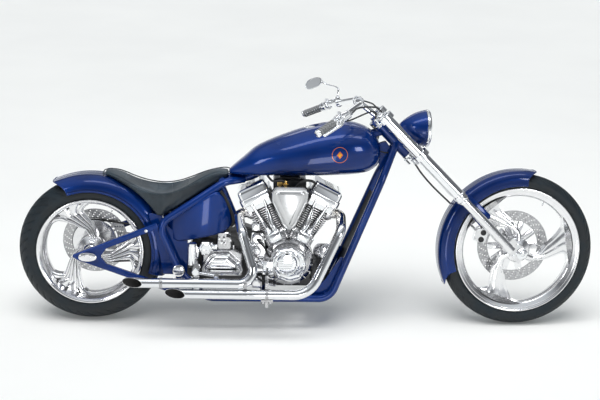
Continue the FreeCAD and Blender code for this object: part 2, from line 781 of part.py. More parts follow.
doc.recompute()
caseShape = upright(caseItem)
barrelShape = upright(cylinderPair)
rockerShape = upright(rockerPair)
rods = []
for name, sign in (("rear", -1), ("front", 1)):
    vee = at(crankX, 0, crankZ, turn((0, 1, 0), sign * size("veeHalf")))
    for spread in (-1, 1):
        foot = vee.multVec(Vector(spread * 15, -size("caseHalf") - 12, 168))
        head = vee.multVec(Vector(spread * 30, -size("caseHalf") - 6, size("headTop + 4")))
        rods.append(bar(foot, head, size("rodTube")).cut(caseShape).cut(rockerShape))
keep(solidFeature("push_rod_tubes", Part.makeCompound(rods)), "push_rod_tubes")

camItems = [
    across("camPlate", "caseRadius - 34", "-caseHalf - 28", "-caseHalf", crankX + 4, crankZ - 4),
    across("camDisc", "camCover", "-caseHalf - 44", "-caseHalf - 28", crankX - 8, crankZ + 4),
]
keep(fuse("camCoverWhole", camItems), "cam_cover")


def beltLoop(first, firstRadius, second, secondRadius, low, high):
    """Prism round two circles and their outer tangents, first the rear one."""
    gap = second - first
    tilt = math.atan2(gap.z, gap.x)
    wrap = math.acos((firstRadius - secondRadius) / gap.Length)

    def onRim(centre, radius, angle):
        return (centre.x + radius * math.cos(angle), centre.z + radius * math.sin(angle))

    firstHigh = onRim(first, firstRadius, tilt + wrap)
    secondHigh = onRim(second, secondRadius, tilt + wrap)
    firstLow = onRim(first, firstRadius, tilt - wrap)
    secondLow = onRim(second, secondRadius, tilt - wrap)
    back = onRim(first, firstRadius, tilt + math.pi)
    nose = onRim(second, secondRadius, tilt)
    return profile([firstHigh, secondHigh + nose, secondLow, firstLow + back], low, high)


coverLow = size("beltAt + beltWide / 2 + 4")
gearX = size("gearX")
gearZ = size("gearZ")
gearCentre = Vector(gearX, 0, gearZ)
primaryShape = beltLoop(gearCentre, size("primaryRear"), Vector(crankX, 0, crankZ), size("primaryFront"),
                        coverLow, coverLow + size("primaryThick"))
keep(solidFeature("primary_cover", primaryShape), "primary_cover")

gearItems = [
    block("gearCase", "178", "176", "122", at(594, 0, 286)),
    block("gearTop", "62", "150", "78", at(602, 0, 386)),
    across("gearShaft", "gearPulley - 1", "88", "beltAt + beltWide / 2 + 2", gearX, gearZ),
    across("oilFiller", "30", "-120", "-60", 520, 388),
    block("oilNeck", "40", "40", "70", at(532, -66, 360)),
]
keep(fuse("gearbox", gearItems), "gearbox")
gearCover = profile([
    (553, 334),
    (626, 334, 660, 312),
    (678, 278, 688, 256),
    (666, 236),
    (520, 236, 504, 246),
    (508, 268, 524, 312),
], -118, -88)
keep(solidFeature("gearbox_cover", gearCover), "gearbox_cover")

rearCentre = Vector(0, 0, rearHeight)
beltLow = size("beltAt - beltWide / 2")
beltHigh = size("beltAt + beltWide / 2 - 0.5")
beltInner = size("pulley + seam")
gearInner = size("gearPulley + seam")
beltThick = size("beltThick")
beltOuterShape = beltLoop(rearCentre, beltInner + beltThick, gearCentre, gearInner + beltThick,
                          beltLow, beltHigh)
beltInnerShape = beltLoop(rearCentre, beltInner, gearCentre, gearInner, beltLow - 1, beltHigh + 1)
keep(solidFeature("drive_belt", beltOuterShape.cut(beltInnerShape)), "drive_belt")

carbItems = [
    block("carbBody", "66", "96", "74", at(890, -118, 590)),
    block("manifold", "40", "110", "36", at(890, -28, 560)),
]
keep(fuse("carburettor", carbItems), "carburettor")
airCover = profile([
    (828, 640, 890, 664),
    (952, 640, 970, 618),
    (962, 600),
    (912, 490, 890, 468),
    (868, 490),
    (818, 600, 812, 622),
], -206, -166)
keep(solidFeature("air_cleaner", airCover), "air_cleaner")

# ---- exhausts: two staggered pipes on the right, open at slanted ends

out = size("pipeOut")
upperZ = size("upperPipeZ")
lowerZ = size("lowerPipeZ")
veeSin = math.sin(math.radians(size("veeHalf")))
veeCos = math.cos(math.radians(size("veeHalf")))
portUp = size("portUp")
portFace = size("cylinderWide") / 2
rearPort = (crankX - portUp * veeSin - portFace * veeCos, crankZ + portUp * veeCos - portFace * veeSin)
frontPort = (crankX + portUp * veeSin + portFace * veeCos, rearPort[1])
rearPipe = [
    (rearPort[0] + 3, -44, rearPort[1], 0),
    (rearPort[0] - 46, -76, rearPort[1] + 2, 34),
    (rearPort[0] - 28, -172, rearPort[1] - 62, 60),
    (754, -out, upperZ, 62),
    (157, -out, upperZ, 0),
]
frontPipe = [
    (frontPort[0] - 3, -44, frontPort[1], 0),
    (frontPort[0] + 48, -76, frontPort[1] + 4, 34),
    (frontPort[0] + 46, -172, frontPort[1] - 48, 60),
    (985, -out, lowerZ, 118),
    (345, -out, lowerZ, 0),
]
doc.recompute()
pipes = {}
for name, way in (("rear", rearPipe), ("front", frontPipe)):
    tail = Vector(*way[-1][:3])
    shape = tube(way, size("pipeRadius"))
    shape = shape.cut(bar(tail - Vector(5, 0, 0), tail + Vector(170, 0, 0), size("pipeBore")))
    # the end is cut along a slant that faces out and back
    slope = size("pipeSlant / (2 * pipeRadius)")
    edge = size("pipeRadius + 8")
    low = tail + Vector(-8 * slope - 0.5, edge, -edge)
    high = tail + Vector(size("pipeSlant") + 8 * slope, -edge, -edge)
    wedge = Part.Face(Part.makePolygon([low, high, Vector(low.x, high.y, low.z), low]))
    pipes[name] = shape.cut(wedge.extrude(Vector(0, 0, 2 * edge))).cut(barrelShape)
keep(solidFeature("exhaust_pipes", Part.makeCompound(list(pipes.values()))), "exhaust_pipes")

hanger = Part.makeBox(14, out - 128, 112, Vector(789, -out + 4, 128))
for other in (pipes["rear"], pipes["front"], frameShape):
    hanger = hanger.cut(other)
hanger = max(hanger.Solids, key=lambda solid: solid.Volume)
keep(solidFeature("exhaust_hanger", hanger), "exhaust_hanger")

# ---- foot controls: pegs, pedals and the rear brake cylinder

footItems = []
for side in (-1, 1):
    post = profile([(468, 140), (468, 300), (494, 300), (494, 140)], 144, 156)
    peg = disc(size("pegRadius"), 156, 240, 481, 286)
    lever = joined([
        bar(Vector(481, 180, 266), Vector(566, 184, 254), size("pedalRadius")),
        disc(9, 178, 218, 570, 253),
        disc(10, 154, 188, 481, 266),
    ])
    parts = [post, peg, lever]
    if side < 0:
        parts.append(bar(Vector(462, 166, 300), Vector(462, 166, 392), 19))
        parts.append(Part.makeBox(24, 20, 20, Vector(464, 146, 292)))
    whole = joined(parts)
    whole = whole if side > 0 else mirrored(whole)
    whole = whole.cut(frameShape)
    footItems.append(max(whole.Solids, key=lambda solid: solid.Volume))
keep(solidFeature("foot_controls", Part.makeCompound(footItems)), "foot_controls")

# ---- brake calipers, slotted over their discs

slotHalf = size("discThick") / 2 + 5.2


def caliper(x, z, angle, discAt, inner, outer):
    """Rounded block over the disc, seen from the side at an angle to the disc's centre."""
    tall = size("caliperTall")
    deep = size("caliperDeep")
    body = Part.makeBox(deep, outer - inner, tall, Vector(-deep / 2, inner, -tall / 2))
    uprights = [edge for edge in body.Edges if abs(edge.Vertexes[0].Y - edge.Vertexes[1].Y) > 1]
    body = body.makeFillet(12, uprights)
    gapBox = Part.makeBox(deep, 2 * slotHalf, tall + 2,
                          Vector(-deep / 2 - 14, discAt - slotHalf, -tall / 2 - 1))
    body = body.cut(gapBox)
    body.Placement = at(x, 0, z, turn((0, 1, 0), -angle))
    return body


rearCaliper = caliper(142, rearHeight + 4, 2, size("rearDiscAt"), 112, size("plateAt - plateThick / 2"))
keep(solidFeature("rear_caliper", rearCaliper), "rear_caliper")

# ---- steering: triple clamps with stem, fork, axle, bars and controls

forkHalf = size("forkHalf")
clampTop = size("neckHigh + 5 + clampThick")
clampLow = size("neckLow - 5 - clampThick")
clampItems = []
for name, base in (("upper", clampTop - size("clampThick")), ("lower", clampLow)):
    clampItems.append(block(name + "Bridge", "62", "2 * forkHalf", "clampThick",
                            forkPlace * at(forkAhead - 16, 0, base + size("clampThick") / 2)))
    clampItems.append(cylinder(name + "Centre", "36", "clampThick", forkPlace * at(neckAxis, 0, base)))
    for side in (-1, 1):
        clampItems.append(cylinder(f"{name}Eye{side + 1}", "forkTube + 11", "clampThick",
                                   forkPlace * at(forkAhead, side * forkHalf, base)))
clampItems.append(cylinder("stem", "stemRadius", "neckHigh - neckLow + 20",
                           forkPlace * at(neckAxis, 0, size("neckLow - 10"))))
clampsWhole = fuse("clampsWhole", clampItems)
forkHoles = [
    cylinder(f"forkHole{side + 1}", "forkTube + runningGap", "forkTop",
             forkPlace * at(forkAhead, side * forkHalf, size("forkSplit")))
    for side in (-1, 1)
]
clampsCut = cut("clampsCut", clampsWhole, fuse("forkHoles", forkHoles))

tubeItems = []
legItems = []
for side in (-1, 1):
    tubeItems.append(cylinder(f"forkTube{side + 1}", "forkTube", "forkTop - forkSplit",
                              forkPlace * at(forkAhead, side * forkHalf, size("forkSplit"))))
    tubeItems.append(cylinder(f"forkCap{side + 1}", "forkTube - 5", "7",
                              forkPlace * at(forkAhead, side * forkHalf, size("forkTop"))))
    legItems.append(cylinder(f"forkLeg{side + 1}", "forkLeg", "forkSplit - 40",
                             forkPlace * at(forkAhead, side * forkHalf, 40)))
    legItems.append(block(f"axleLug{side + 1}", "64", "24", "104",
                          forkPlace * at(forkAhead / 2, side * forkHalf, 30)))
    legItems.append(across(f"axleEye{side + 1}", "26", f"{side} * forkHalf - 12", f"{side} * forkHalf + 12",
                           wheelbase, frontHeight))
legsWhole = fuse("legsWhole", legItems)
axleHole = across("axleHole", "axleRadius + 0.02", "-forkHalf - 30", "forkHalf + 30", wheelbase, frontHeight)
keep(fuse("fork_tubes", tubeItems), "fork_tubes", pose=turned)
legsCut = cut("fork_legs", legsWhole, axleHole)
keep(legsCut, "fork_legs", pose=turned)

axleSolid = fuse("axleSolid", [
    across("frontAxleBar", "axleRadius", "-forkHalf - 16", "forkHalf + 16", wheelbase, frontHeight),
    across("frontSpacerRight", "18", "-forkHalf + 12.3", "-frontHubRight - 1.5", wheelbase, frontHeight),
    across("frontSpacerLeft", "18", "frontDiscAt + discThick / 2 + 1.5", "forkHalf - 12.3", wheelbase,
           frontHeight),
])
keep(cut("front_axle", axleSolid,
         across("axleBore", "frontAxleBore", "-forkHalf - 20", "forkHalf + 20", wheelbase, frontHeight)),
     "front_axle", pose=turned)

doc.recompute()
legShape = upright(legsCut, turned)
fenderShape = fenderWhole.Shape.copy().cut(legShape)
keep(solidFeature("front_fender", fenderShape), "front_fender", pose=turned)

# the front caliper hangs behind the left leg, on an arm outside the disc
caliperReach = size("frontDisc - 7")
caliperAngle = 162.5
caliperX = wheelbase + caliperReach * math.cos(math.radians(caliperAngle))
caliperZ = frontHeight + caliperReach * math.sin(math.radians(caliperAngle))
frontCaliperBody = caliper(caliperX, caliperZ, caliperAngle, size("frontDiscAt"), 50, 92)
armLow = forkHalf - 13
arm = profile([
    (caliperX - 18, caliperZ - 26),
    (caliperX - 20, caliperZ + 24),
    (wheelbase - 132, frontHeight + 106),
    (wheelbase - 84, frontHeight + 62),
    (caliperX + 26, caliperZ - 24),
], armLow, armLow + 10)
frontCaliper = joined([frontCaliperBody, arm]).cut(legShape)
frontCaliper = max(frontCaliper.Solids, key=lambda solid: solid.Volume)
keep(solidFeature("front_caliper", frontCaliper), "front_caliper", pose=turned)

# handlebar on two risers that lean back; columns: x, y, z, bend radius
barPoints = [
    (979, -356, 918, 0),
    (1090, -253, 976, 120),
    (1192, -82, 1018, 50),
    (1192, 82, 1018, 50),
    (1090, 253, 976, 120),
    (979, 356, 918, 0),
]
barEnd = Vector(*barPoints[-1][:3])
barBend = Vector(*barPoints[-2][:3])
barMiddle = Vector(*barPoints[-3][:3])
barShape = tube(barPoints, size("barRadius"))
risers = []
for side in (-1, 1):
    foot = fork(forkAhead - 18, side * 34, clampTop)
    top = Vector(barMiddle.x, side * 34, barMiddle.z)
    risers.append(bar(foot, top, size("riserRadius")))
    risers.append(disc(20, side * 34 - 13, side * 34 + 13, top.x, top.z))
clampShape = clampsCut.Shape.copy()
barWhole = joined([barShape] + risers).cut(clampShape)
keep(solidFeature("handlebar", barWhole), "handlebar", pose=turned)

# grips with a perch, master cylinder and lever ahead of each
grips = []
controls = []
gripLong = size("gripLong")
for side in (-1, 1):
    end = Vector(barEnd.x, side * barEnd.y, barEnd.z)
    inward = (Vector(barBend.x, side * barBend.y, barBend.z) - end).normalize()
    outward = inward.cross(Vector(0, 0, 1)).normalize() * -side
    sleeve = bar(end - inward * 4, end + inward * gripLong, size("gripRadius"))
    grips.append(sleeve.cut(barWhole))
    spot = end + inward * (gripLong + 22)
    lever = tube([
        tuple(spot + outward * 26 - inward * 6) + (0,),
        tuple(spot + outward * 52 - inward * 34) + (30,),
        tuple(end + outward * 46 - inward * 6) + (0,),
    ], size("leverRadius"))
    threadFoot = spot + inward * 2
    perch = joined([
        bar(spot - inward * 16, spot + inward * 16, 21),
        bar(spot + outward * 18 - inward * 4, spot + outward * 18 + inward * 52, 14),
        bar(threadFoot, threadFoot + Vector(0, 0, 34), 9),
        lever,
    ])
    thread = bar(threadFoot + Vector(0, 0, 22), threadFoot + Vector(0, 0, 40), size("mirrorThread"))
    perch = perch.cut(barWhole).cut(thread)
    controls.append(max(perch.Solids, key=lambda solid: solid.Volume))
keep(solidFeature("grips", Part.makeCompound(grips)), "grips", pose=turned)
keep(solidFeature("hand_controls", Part.makeCompound(controls)), "hand_controls", pose=turned)

# mirror on its own clamp on the left bar, its glass turned back and in
barWay = (barMiddle - barBend).normalize()
mirrorFoot = barBend + barWay * 62
mirrorMiddle = Vector(1030, 330, 1065)
glassWay = Vector(-0.80, -0.55, 0.20).normalize()
levelWay = Vector(0, 0, 1).cross(glassWay).normalize()
roll = math.radians(18)
longWay = levelWay * math.cos(roll) + glassWay.cross(levelWay) * math.sin(roll)
mirrorPlace = Placement(mirrorMiddle, Rotation(longWay, glassWay.cross(longWay), glassWay, "ZXY"))
stemTop = mirrorMiddle + longWay * size("mirrorLong - 12") + glassWay * 6
stem = tube([
    (mirrorFoot.x, mirrorFoot.y, mirrorFoot.z + 16, 0),
    (mirrorFoot.x + 6, mirrorFoot.y + 8, mirrorFoot.z + 62, 26),
    tuple(stemTop) + (0,),
], 4.5)
mirrorClamp = bar(mirrorFoot - barWay * 13, mirrorFoot + barWay * 13, 20)
mirrorBoss = bar(mirrorFoot, mirrorFoot + Vector(0, 0, 30), 10)
mirrorThick = size("mirrorThick")
glassThick = size("glassThick")
rimEdge = Part.Ellipse(Vector(0, 0, 0), size("mirrorLong"), size("mirrorHigh")).toShape()
glassEdge = Part.Ellipse(Vector(0, 0, mirrorThick + 0.5 - glassThick), size("mirrorLong - 5"),
                         size("mirrorHigh - 4.5")).toShape()
shell = Part.Face(Part.Wire([rimEdge])).extrude(Vector(0, 0, mirrorThick))
glass = Part.Face(Part.Wire([glassEdge])).extrude(Vector(0, 0, glassThick))
shell.Placement = mirrorPlace
glass.Placement = mirrorPlace
mirrorShape = joined([stem, mirrorClamp, mirrorBoss, shell]).cut(glass).cut(barWhole)
keep(solidFeature("mirror", mirrorShape), "mirror", pose=turned)
keep(solidFeature("mirror_glass", glass), "mirror_glass", pose=turned)

# headlight: bullet shell, bezel and lens on one axis along X
lampPlace = at(1372, 0, 901)
shellBody = newBody("headlightShell")
revolve(shellBody, "shellSpin", [
    ("0", "0"),
    ("0", "headlight * 0.1"),
    ("headlightLong * 0.2", "headlight * 0.4"),
    ("headlightLong * 0.47", "headlight * 0.68"),
    ("headlightLong * 0.73", "headlight * 0.88"),
    ("headlightLong", "headlight"),
    ("headlightLong", "0"),
], axis="H_Axis")
keep(shellBody, "headlight_shell", lampPlace, turned)
bezelBody = newBody("headlightBezel")
revolve(bezelBody, "bezelSpin", [
    ("headlightLong", "headlight - 8"),
    ("headlightLong", "headlight + bezelRim"),
    ("headlightLong + 16", "headlight + bezelRim - 2"),
    ("headlightLong + 18", "headlight - 8"),
], axis="H_Axis")
keep(bezelBody, "headlight_bezel", lampPlace, turned)
lensBody = newBody("headlightLens")
revolve(lensBody, "lensSpin", [
    ("headlightLong", "0"),
    ("headlightLong + 24", "0"),
    ("headlightLong + 21", "headlight / 2"),
    ("headlightLong + 12", "headlight - 8 - seam"),
    ("headlightLong", "headlight - 8 - seam"),
], axis="H_Axis")
keep(lensBody, "headlight_lens", lampPlace, turned)
doc.recompute()
lampShape = shellBody.Shape.copy()
lampShape.Placement = lampPlace
lampFoot = fork(forkAhead + 2, 0, clampLow + size("clampThick") / 2)
lampStalk = bar(lampFoot, Vector(lampFoot.x - 4, 0, 850), 10)
clampFinal = clampShape.fuse(lampStalk).removeSplitter().cut(lampShape)
clampFinal = max(clampFinal.Solids, key=lambda solid: solid.Volume)
keep(solidFeature("triple_clamps", clampFinal), "triple_clamps", pose=turned)


def forkRow(ahead, side, up, bend):
    return tuple(fork(ahead, side, up)) + (bend,)


# front brake hose, held by the steering all the way: from the lever to the upper clamp, and from the
# lower clamp to the caliper; columns: x, y, z, bend radius
rightEnd = Vector(barEnd.x, -barEnd.y, barEnd.z)
rightWay = (Vector(barBend.x, -barBend.y, barBend.z) - rightEnd).normalize()
rightOut = rightWay.cross(Vector(0, 0, 1)).normalize()
hoseStart = rightEnd + rightWay * (gripLong + 22 + 52) + rightOut * 18
upperHose = [
    tuple(hoseStart) + (0,),
    tuple(hoseStart + rightWay * 34) + (40,),
    (1214, -146, 1008, 60),
    forkRow(-14, -58, clampTop + 43, 22),
    forkRow(-14, -58, clampTop, 0),
]
lowerHose = [
    forkRow(-60, 56, clampLow, 0),
    forkRow(-74, 72, 550, 160),
    forkRow(-70, 80, 450, 300),
    forkRow(-64, 84, 348, 200),
    forkRow(-72, 81, 176, 0),
]
hose = [tube(way, size("hoseRadius")) for way in (upperHose, lowerHose)]
hose = [piece.cut(clampFinal).cut(frontCaliper).cut(controls[0]) for piece in hose]
keep(solidFeature("brake_hose", Part.makeCompound(hose)), "brake_hose", pose=turned)

# clutch and throttle cables, each from its control over to the upper clamp
cableRadius = size("cableRadius")
throttleStart = rightEnd + rightWay * (gripLong + 38)
leftEnd = barEnd
leftWay = (barBend - barEnd).normalize()
leftOut = leftWay.cross(Vector(0, 0, -1)).normalize()
clutchStart = leftEnd + leftWay * (gripLong + 22 + 52) + leftOut * 18
throttleCable = [
    tuple(throttleStart + Vector(6, -2, -16)) + (0,),
    (1140, -222, 956, 60),
    (1212, -140, 980, 60),
    (1256, -66, 982, 22),
    forkRow(-56, -54, clampTop, 0),
]
clutchCable = [
    tuple(clutchStart) + (0,),
    tuple(clutchStart + leftWay * 34) + (40,),
    (1218, 132, 1010, 60),
    forkRow(-14, 58, clampTop + 40, 22),
    forkRow(-14, 58, clampTop, 0),
]
cables = [tube(way, cableRadius) for way in (throttleCable, clutchCable)]
handShape = Part.makeCompound(controls)
cables = [piece.cut(clampFinal).cut(handShape).cut(barWhole) for piece in cables]
keep(solidFeature("control_cables", Part.makeCompound(cables)), "control_cables", pose=turned)

# ---- side stand: a head on the slanted pivot, the leg and a flat foot on the floor

floorUp = Vector(0, -math.sin(math.radians(lean)), leanCos)
footThick = size("footThick")
standItems = [
    bar(standPivot - standAxis * 11, standPivot + standAxis * 10, size("standHead")),
    bar(standPivot, standFoot + floorUp * (footThick - 2) - standLeg * 4, size("standLeg")),
    bar(standFoot, standFoot + floorUp * footThick, size("standFoot")),
]
pinCut = bar(standPivot - standAxis * 30, standPivot + standAxis * 30,
             size("standPin + runningGap"))
keep(solidFeature("side_stand", joined(standItems).cut(pinCut)), "side_stand")
pin = joined([
    bar(lugLow, standPivot + standAxis * 12, size("standPin")),
    bar(standPivot + standAxis * 10.5, standPivot + standAxis * 15, 13),
])
keep(solidFeature("stand_pin", pin), "stand_pin")

# ---- checks, then one STEP file for each sub-part

doc.recompute()
for item in doc.Objects:
    if "Invalid" in item.State or "Error" in item.State:
        raise ValueError(f"{item.Label} failed: {item.State}")
for item in nodes:
    if item.Shape.isNull() or not item.Shape.isValid() or not item.Shape.Solids:
        raise ValueError(f"{item.Label} has no valid shape")
os.makedirs("parts", exist_ok=True)
for item in nodes:
    item.Shape.exportStep(f"parts/{item.Label}.step")
whole = FreeCAD.BoundBox()
for item in nodes:
    whole.add(item.Shape.BoundBox)
print(len(nodes), "sub-parts")
print("length", round(whole.XLength, 1), "width", round(whole.YLength, 1), "height", round(whole.ZLength, 1))
print("middle", round((whole.XMin + whole.XMax) / 2, 1), round((whole.YMin + whole.YMax) / 2, 1),
      "floor", round(whole.ZMin, 2))
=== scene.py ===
import bmesh
import bpy
import json
import math
from mathutils import Matrix, Vector

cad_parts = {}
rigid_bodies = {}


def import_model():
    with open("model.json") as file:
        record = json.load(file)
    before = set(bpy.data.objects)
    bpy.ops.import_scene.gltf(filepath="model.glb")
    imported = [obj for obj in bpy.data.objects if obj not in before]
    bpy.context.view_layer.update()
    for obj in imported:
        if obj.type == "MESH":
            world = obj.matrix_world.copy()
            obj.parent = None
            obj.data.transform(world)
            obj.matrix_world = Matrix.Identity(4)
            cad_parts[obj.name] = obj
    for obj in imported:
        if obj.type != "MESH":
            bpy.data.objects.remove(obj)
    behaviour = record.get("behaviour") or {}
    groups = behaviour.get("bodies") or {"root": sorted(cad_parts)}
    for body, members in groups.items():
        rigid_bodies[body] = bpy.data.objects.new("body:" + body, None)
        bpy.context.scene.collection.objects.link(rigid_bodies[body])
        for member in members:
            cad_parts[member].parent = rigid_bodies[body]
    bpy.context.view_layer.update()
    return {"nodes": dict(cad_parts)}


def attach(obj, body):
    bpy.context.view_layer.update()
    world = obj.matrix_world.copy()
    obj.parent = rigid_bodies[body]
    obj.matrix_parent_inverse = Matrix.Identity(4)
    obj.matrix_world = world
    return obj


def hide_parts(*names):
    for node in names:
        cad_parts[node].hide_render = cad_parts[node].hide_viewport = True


for leftover in list(bpy.data.objects):
    bpy.data.objects.remove(leftover)
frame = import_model()
print("frame loaded,", len(frame["nodes"]), "nodes")

# Shapes are drawn in millimetres on the upright machine: X forward from the rear axle, Y to the
# rider's left, Z up. standPlace leans them on the side stand, turnPlace turns the steering as well.
machine = {
    "leanDegrees": 6, "steerDegrees": 4, "wheelbase": 1940, "middleX": 981.5, "sideShift": 82,
    "rearHeight": 327.52, "frontHeight": 348.918, "steerFoot": (1901.11, 0, 310.03),
    "crank": (893, 0, 292), "veeDegrees": 27, "forkAhead": -22, "forkHalf": 105,
}
mm = 0.001
rearZ = machine["rearHeight"]
frontZ = machine["frontHeight"]
frontX = machine["wheelbase"]
standPlace = (Matrix.Translation((-machine["middleX"] * mm, -machine["sideShift"] * mm, 0))
              @ Matrix.Rotation(math.radians(-machine["leanDegrees"]), 4, "X") @ Matrix.Scale(mm, 4))
footPlace = Matrix.Translation(machine["steerFoot"])
turnPlace = (standPlace @ footPlace
             @ Matrix.Rotation(math.radians(machine["steerDegrees"]), 4, Vector((-1, 0, 1)).normalized())
             @ footPlace.inverted())
rightward = Vector((0, -1, 0))
leftward = Vector((0, 1, 0))
upFork = Vector((-1, 0, 1)).normalized()


def fork(ahead, side, up):  # a point ahead of the fork tubes, to the left and up along them
    share = math.sqrt(0.5)
    return Vector((frontX + (ahead - up) * share, side, frontZ + (ahead + up) * share))


def wheelPlace(end):  # the middle of one wheel's axle
    if end == "front":
        return turnPlace @ Matrix.Translation((frontX, 0, frontZ))
    return standPlace @ Matrix.Translation((0, 0, rearZ))


def aimed(spot, way):  # local Z points along the way
    return Matrix.Translation(spot) @ Vector(way).to_track_quat("Z", "Y").to_matrix().to_4x4()


def acrossAt(x, y, z):  # local Z to the left, local X forward
    return Matrix(((1, 0, 0, x), (0, 0, 1, y), (0, -1, 0, z), (0, 0, 0, 1)))


def sideOn(y, side=-1):  # outline (x, z) seen from one side, rising outward to that side
    return Matrix(((1, 0, 0, 0), (0, 0, side, y), (0, 1, 0, 0), (0, 0, 0, 1)))


# ---- shader and geometry node helpers

class Wire:  # one socket, so that plain expressions add Math nodes
    def __init__(self, desk, socket):
        self.desk = desk
        self.socket = socket

    def maths(self, operation, first, second=0.0):
        return self.desk.node("ShaderNodeMath", {"operation": operation}, {0: first, 1: second})

    def __add__(self, other):
        return self.maths("ADD", self, other)

    def __radd__(self, other):
        return self.maths("ADD", other, self)

    def __sub__(self, other):
        return self.maths("SUBTRACT", self, other)

    def __rsub__(self, other):
        return self.maths("SUBTRACT", other, self)

    def __mul__(self, other):
        return self.maths("MULTIPLY", self, other)

    def __rmul__(self, other):
        return self.maths("MULTIPLY", other, self)

    def __truediv__(self, other):
        return self.maths("DIVIDE", self, other)

    def __pow__(self, other):
        return self.maths("POWER", self, other)

    def __lt__(self, other):
        return self.maths("LESS_THAN", self, other)

    def __gt__(self, other):
        return self.maths("GREATER_THAN", self, other)

    def __abs__(self):
        return self.maths("ABSOLUTE", self)

    def hypot(self, other):
        return (self * self + other * other) ** 0.5

    def clamped(self):
        return self.desk.node("ShaderNodeClamp", {}, {0: self})

    def ramp(self, low, high):  # 0 below low, 1 above high, smooth between
        return self.desk.node("ShaderNodeMapRange", {"interpolation_type": "SMOOTHSTEP"},
                              {"Value": self, "From Min": low, "From Max": high})


class Desk:  # adds nodes to one tree
    def __init__(self, tree):
        self.tree = tree

    def node(self, kind, settings=None, inputs=None, output=0):
        made = self.tree.nodes.new(kind)
        for name, value in (settings or {}).items():
            if name == "stops":
                elements = made.color_ramp.elements
                while len(elements) < len(value):
                    elements.new(0.5)
                for element, (position, colour) in zip(elements, value):
                    element.position = position
                    element.color = colour
            else:
                setattr(made, name, value)
        for key, value in (inputs or {}).items():
            if isinstance(value, Wire):
                self.tree.links.new(value.socket, made.inputs[key])
            else:
                made.inputs[key].default_value = value
        return Wire(self, made.outputs[output])

    def spot(self):
        return self.node("ShaderNodeTexCoord", {}, {}, "Object")

    def noise(self, scale, detail=4.0, rough=0.55, where=None):
        return self.node("ShaderNodeTexNoise", {}, {"Vector": where or self.spot(), "Scale": scale,
                                                   "Detail": detail, "Roughness": rough})

    def cells(self, scale, where=None):
        return self.node("ShaderNodeTexVoronoi", {}, {"Vector": where or self.spot(), "Scale": scale})

    def mix(self, share, first, second):
        return self.node("ShaderNodeMix", {"data_type": "RGBA"}, {0: share, 6: first, 7: second}, 2)

    def bump(self, height, strength, distance=0.001):
        return self.node("ShaderNodeBump", {}, {"Height": height, "Strength": strength,
                                                "Distance": distance})

    def split(self, vector):
        cut = self.node("ShaderNodeSeparateXYZ", {}, {0: vector})
        return [Wire(self, output) for output in cut.socket.node.outputs]

    def surface(self, **sockets):
        return self.node("ShaderNodeBsdfPrincipled", {},
                         {name.replace("_", " "): value for name, value in sockets.items()})


def finish(name, build):
    made = bpy.data.materials.new(name)
    made.use_nodes = True
    made.node_tree.nodes.clear()
    desk = Desk(made.node_tree)
    shader = build(desk)
    output = made.node_tree.nodes.new("ShaderNodeOutputMaterial")
    made.node_tree.links.new(shader.socket, output.inputs["Surface"])
    return made


def uprightSpot(desk):  # object coordinates, back on the upright machine, in metres
    x, y, z = desk.split(desk.spot())
    cosine = math.cos(math.radians(machine["leanDegrees"]))
    sine = math.sin(math.radians(machine["leanDegrees"]))
    shifted = y + machine["sideShift"] * mm
    return (x + machine["middleX"] * mm, shifted * cosine - z * sine, shifted * sine + z * cosine)


# ---- finishes

paintLook = {"deep": (0.0005, 0.0165, 0.110, 1), "bright": (0.0009, 0.033, 0.212, 1),
             "dust": (0.20, 0.22, 0.26, 1), "flakeScale": 1500.0, "peelScale": 420.0}


def paintLayers(desk, colour=None):
    cloud = desk.noise(2.2, 3.0)
    flake = desk.cells(paintLook["flakeScale"])
    base = desk.mix(cloud.ramp(0.35, 0.65), paintLook["deep"], paintLook["bright"])
    base = desk.mix((flake < 0.25) * 0.3, base, (0.006, 0.055, 0.32, 1))
    if colour:
        base = colour(desk, base)
    normal = desk.node("ShaderNodeNewGeometry", {}, {}, "Normal")
    facingUp = desk.split(normal)[2].ramp(0.55, 1.0)
    dust = facingUp * desk.noise(38.0, 6.0).ramp(0.45, 0.8) * 0.03
    base = desk.mix(dust, base, paintLook["dust"])
    rough = 0.20 + desk.noise(16.0, 5.0) * 0.10 + dust
    peel = desk.bump(desk.noise(paintLook["peelScale"], 1.0), 0.035, 0.0004)
    return desk.surface(Base_Color=base, Metallic=0.30, Roughness=rough, Specular_IOR_Level=0.05,
                        Coat_Weight=1.0, Coat_Roughness=0.03, Coat_IOR=1.38, Normal=peel)


badgeLook = {"x": 1.107, "z": 0.803, "ring": 0.034, "line": 0.0011, "diamond": 0.017,
             "orange": (0.78, 0.20, 0.035, 1), "yellow": (0.85, 0.42, 0.05, 1)}


def tankBadge(desk, base):  # a thin ring with a plain diamond in it
    x, y, z = uprightSpot(desk)
    across = x - badgeLook["x"]
    up = z - badgeLook["z"]
    reach = across.hypot(up)
    onSide = abs(y) > 0.06
    ring = (abs(reach - badgeLook["ring"]) < badgeLook["line"]) * onSide
    diamond = (abs(across) * 1.25 + abs(up)) < badgeLook["diamond"]
    heart = (abs(across) * 1.25 + abs(up)) < badgeLook["diamond"] * 0.55
    base = desk.mix(ring, base, badgeLook["orange"])
    base = desk.mix(diamond * onSide, base, badgeLook["orange"])
    return desk.mix(heart * onSide, base, badgeLook["yellow"])


bluePaint = finish("bluePaint", paintLayers)
tankPaint = finish("tankPaint", lambda desk: paintLayers(desk, tankBadge))


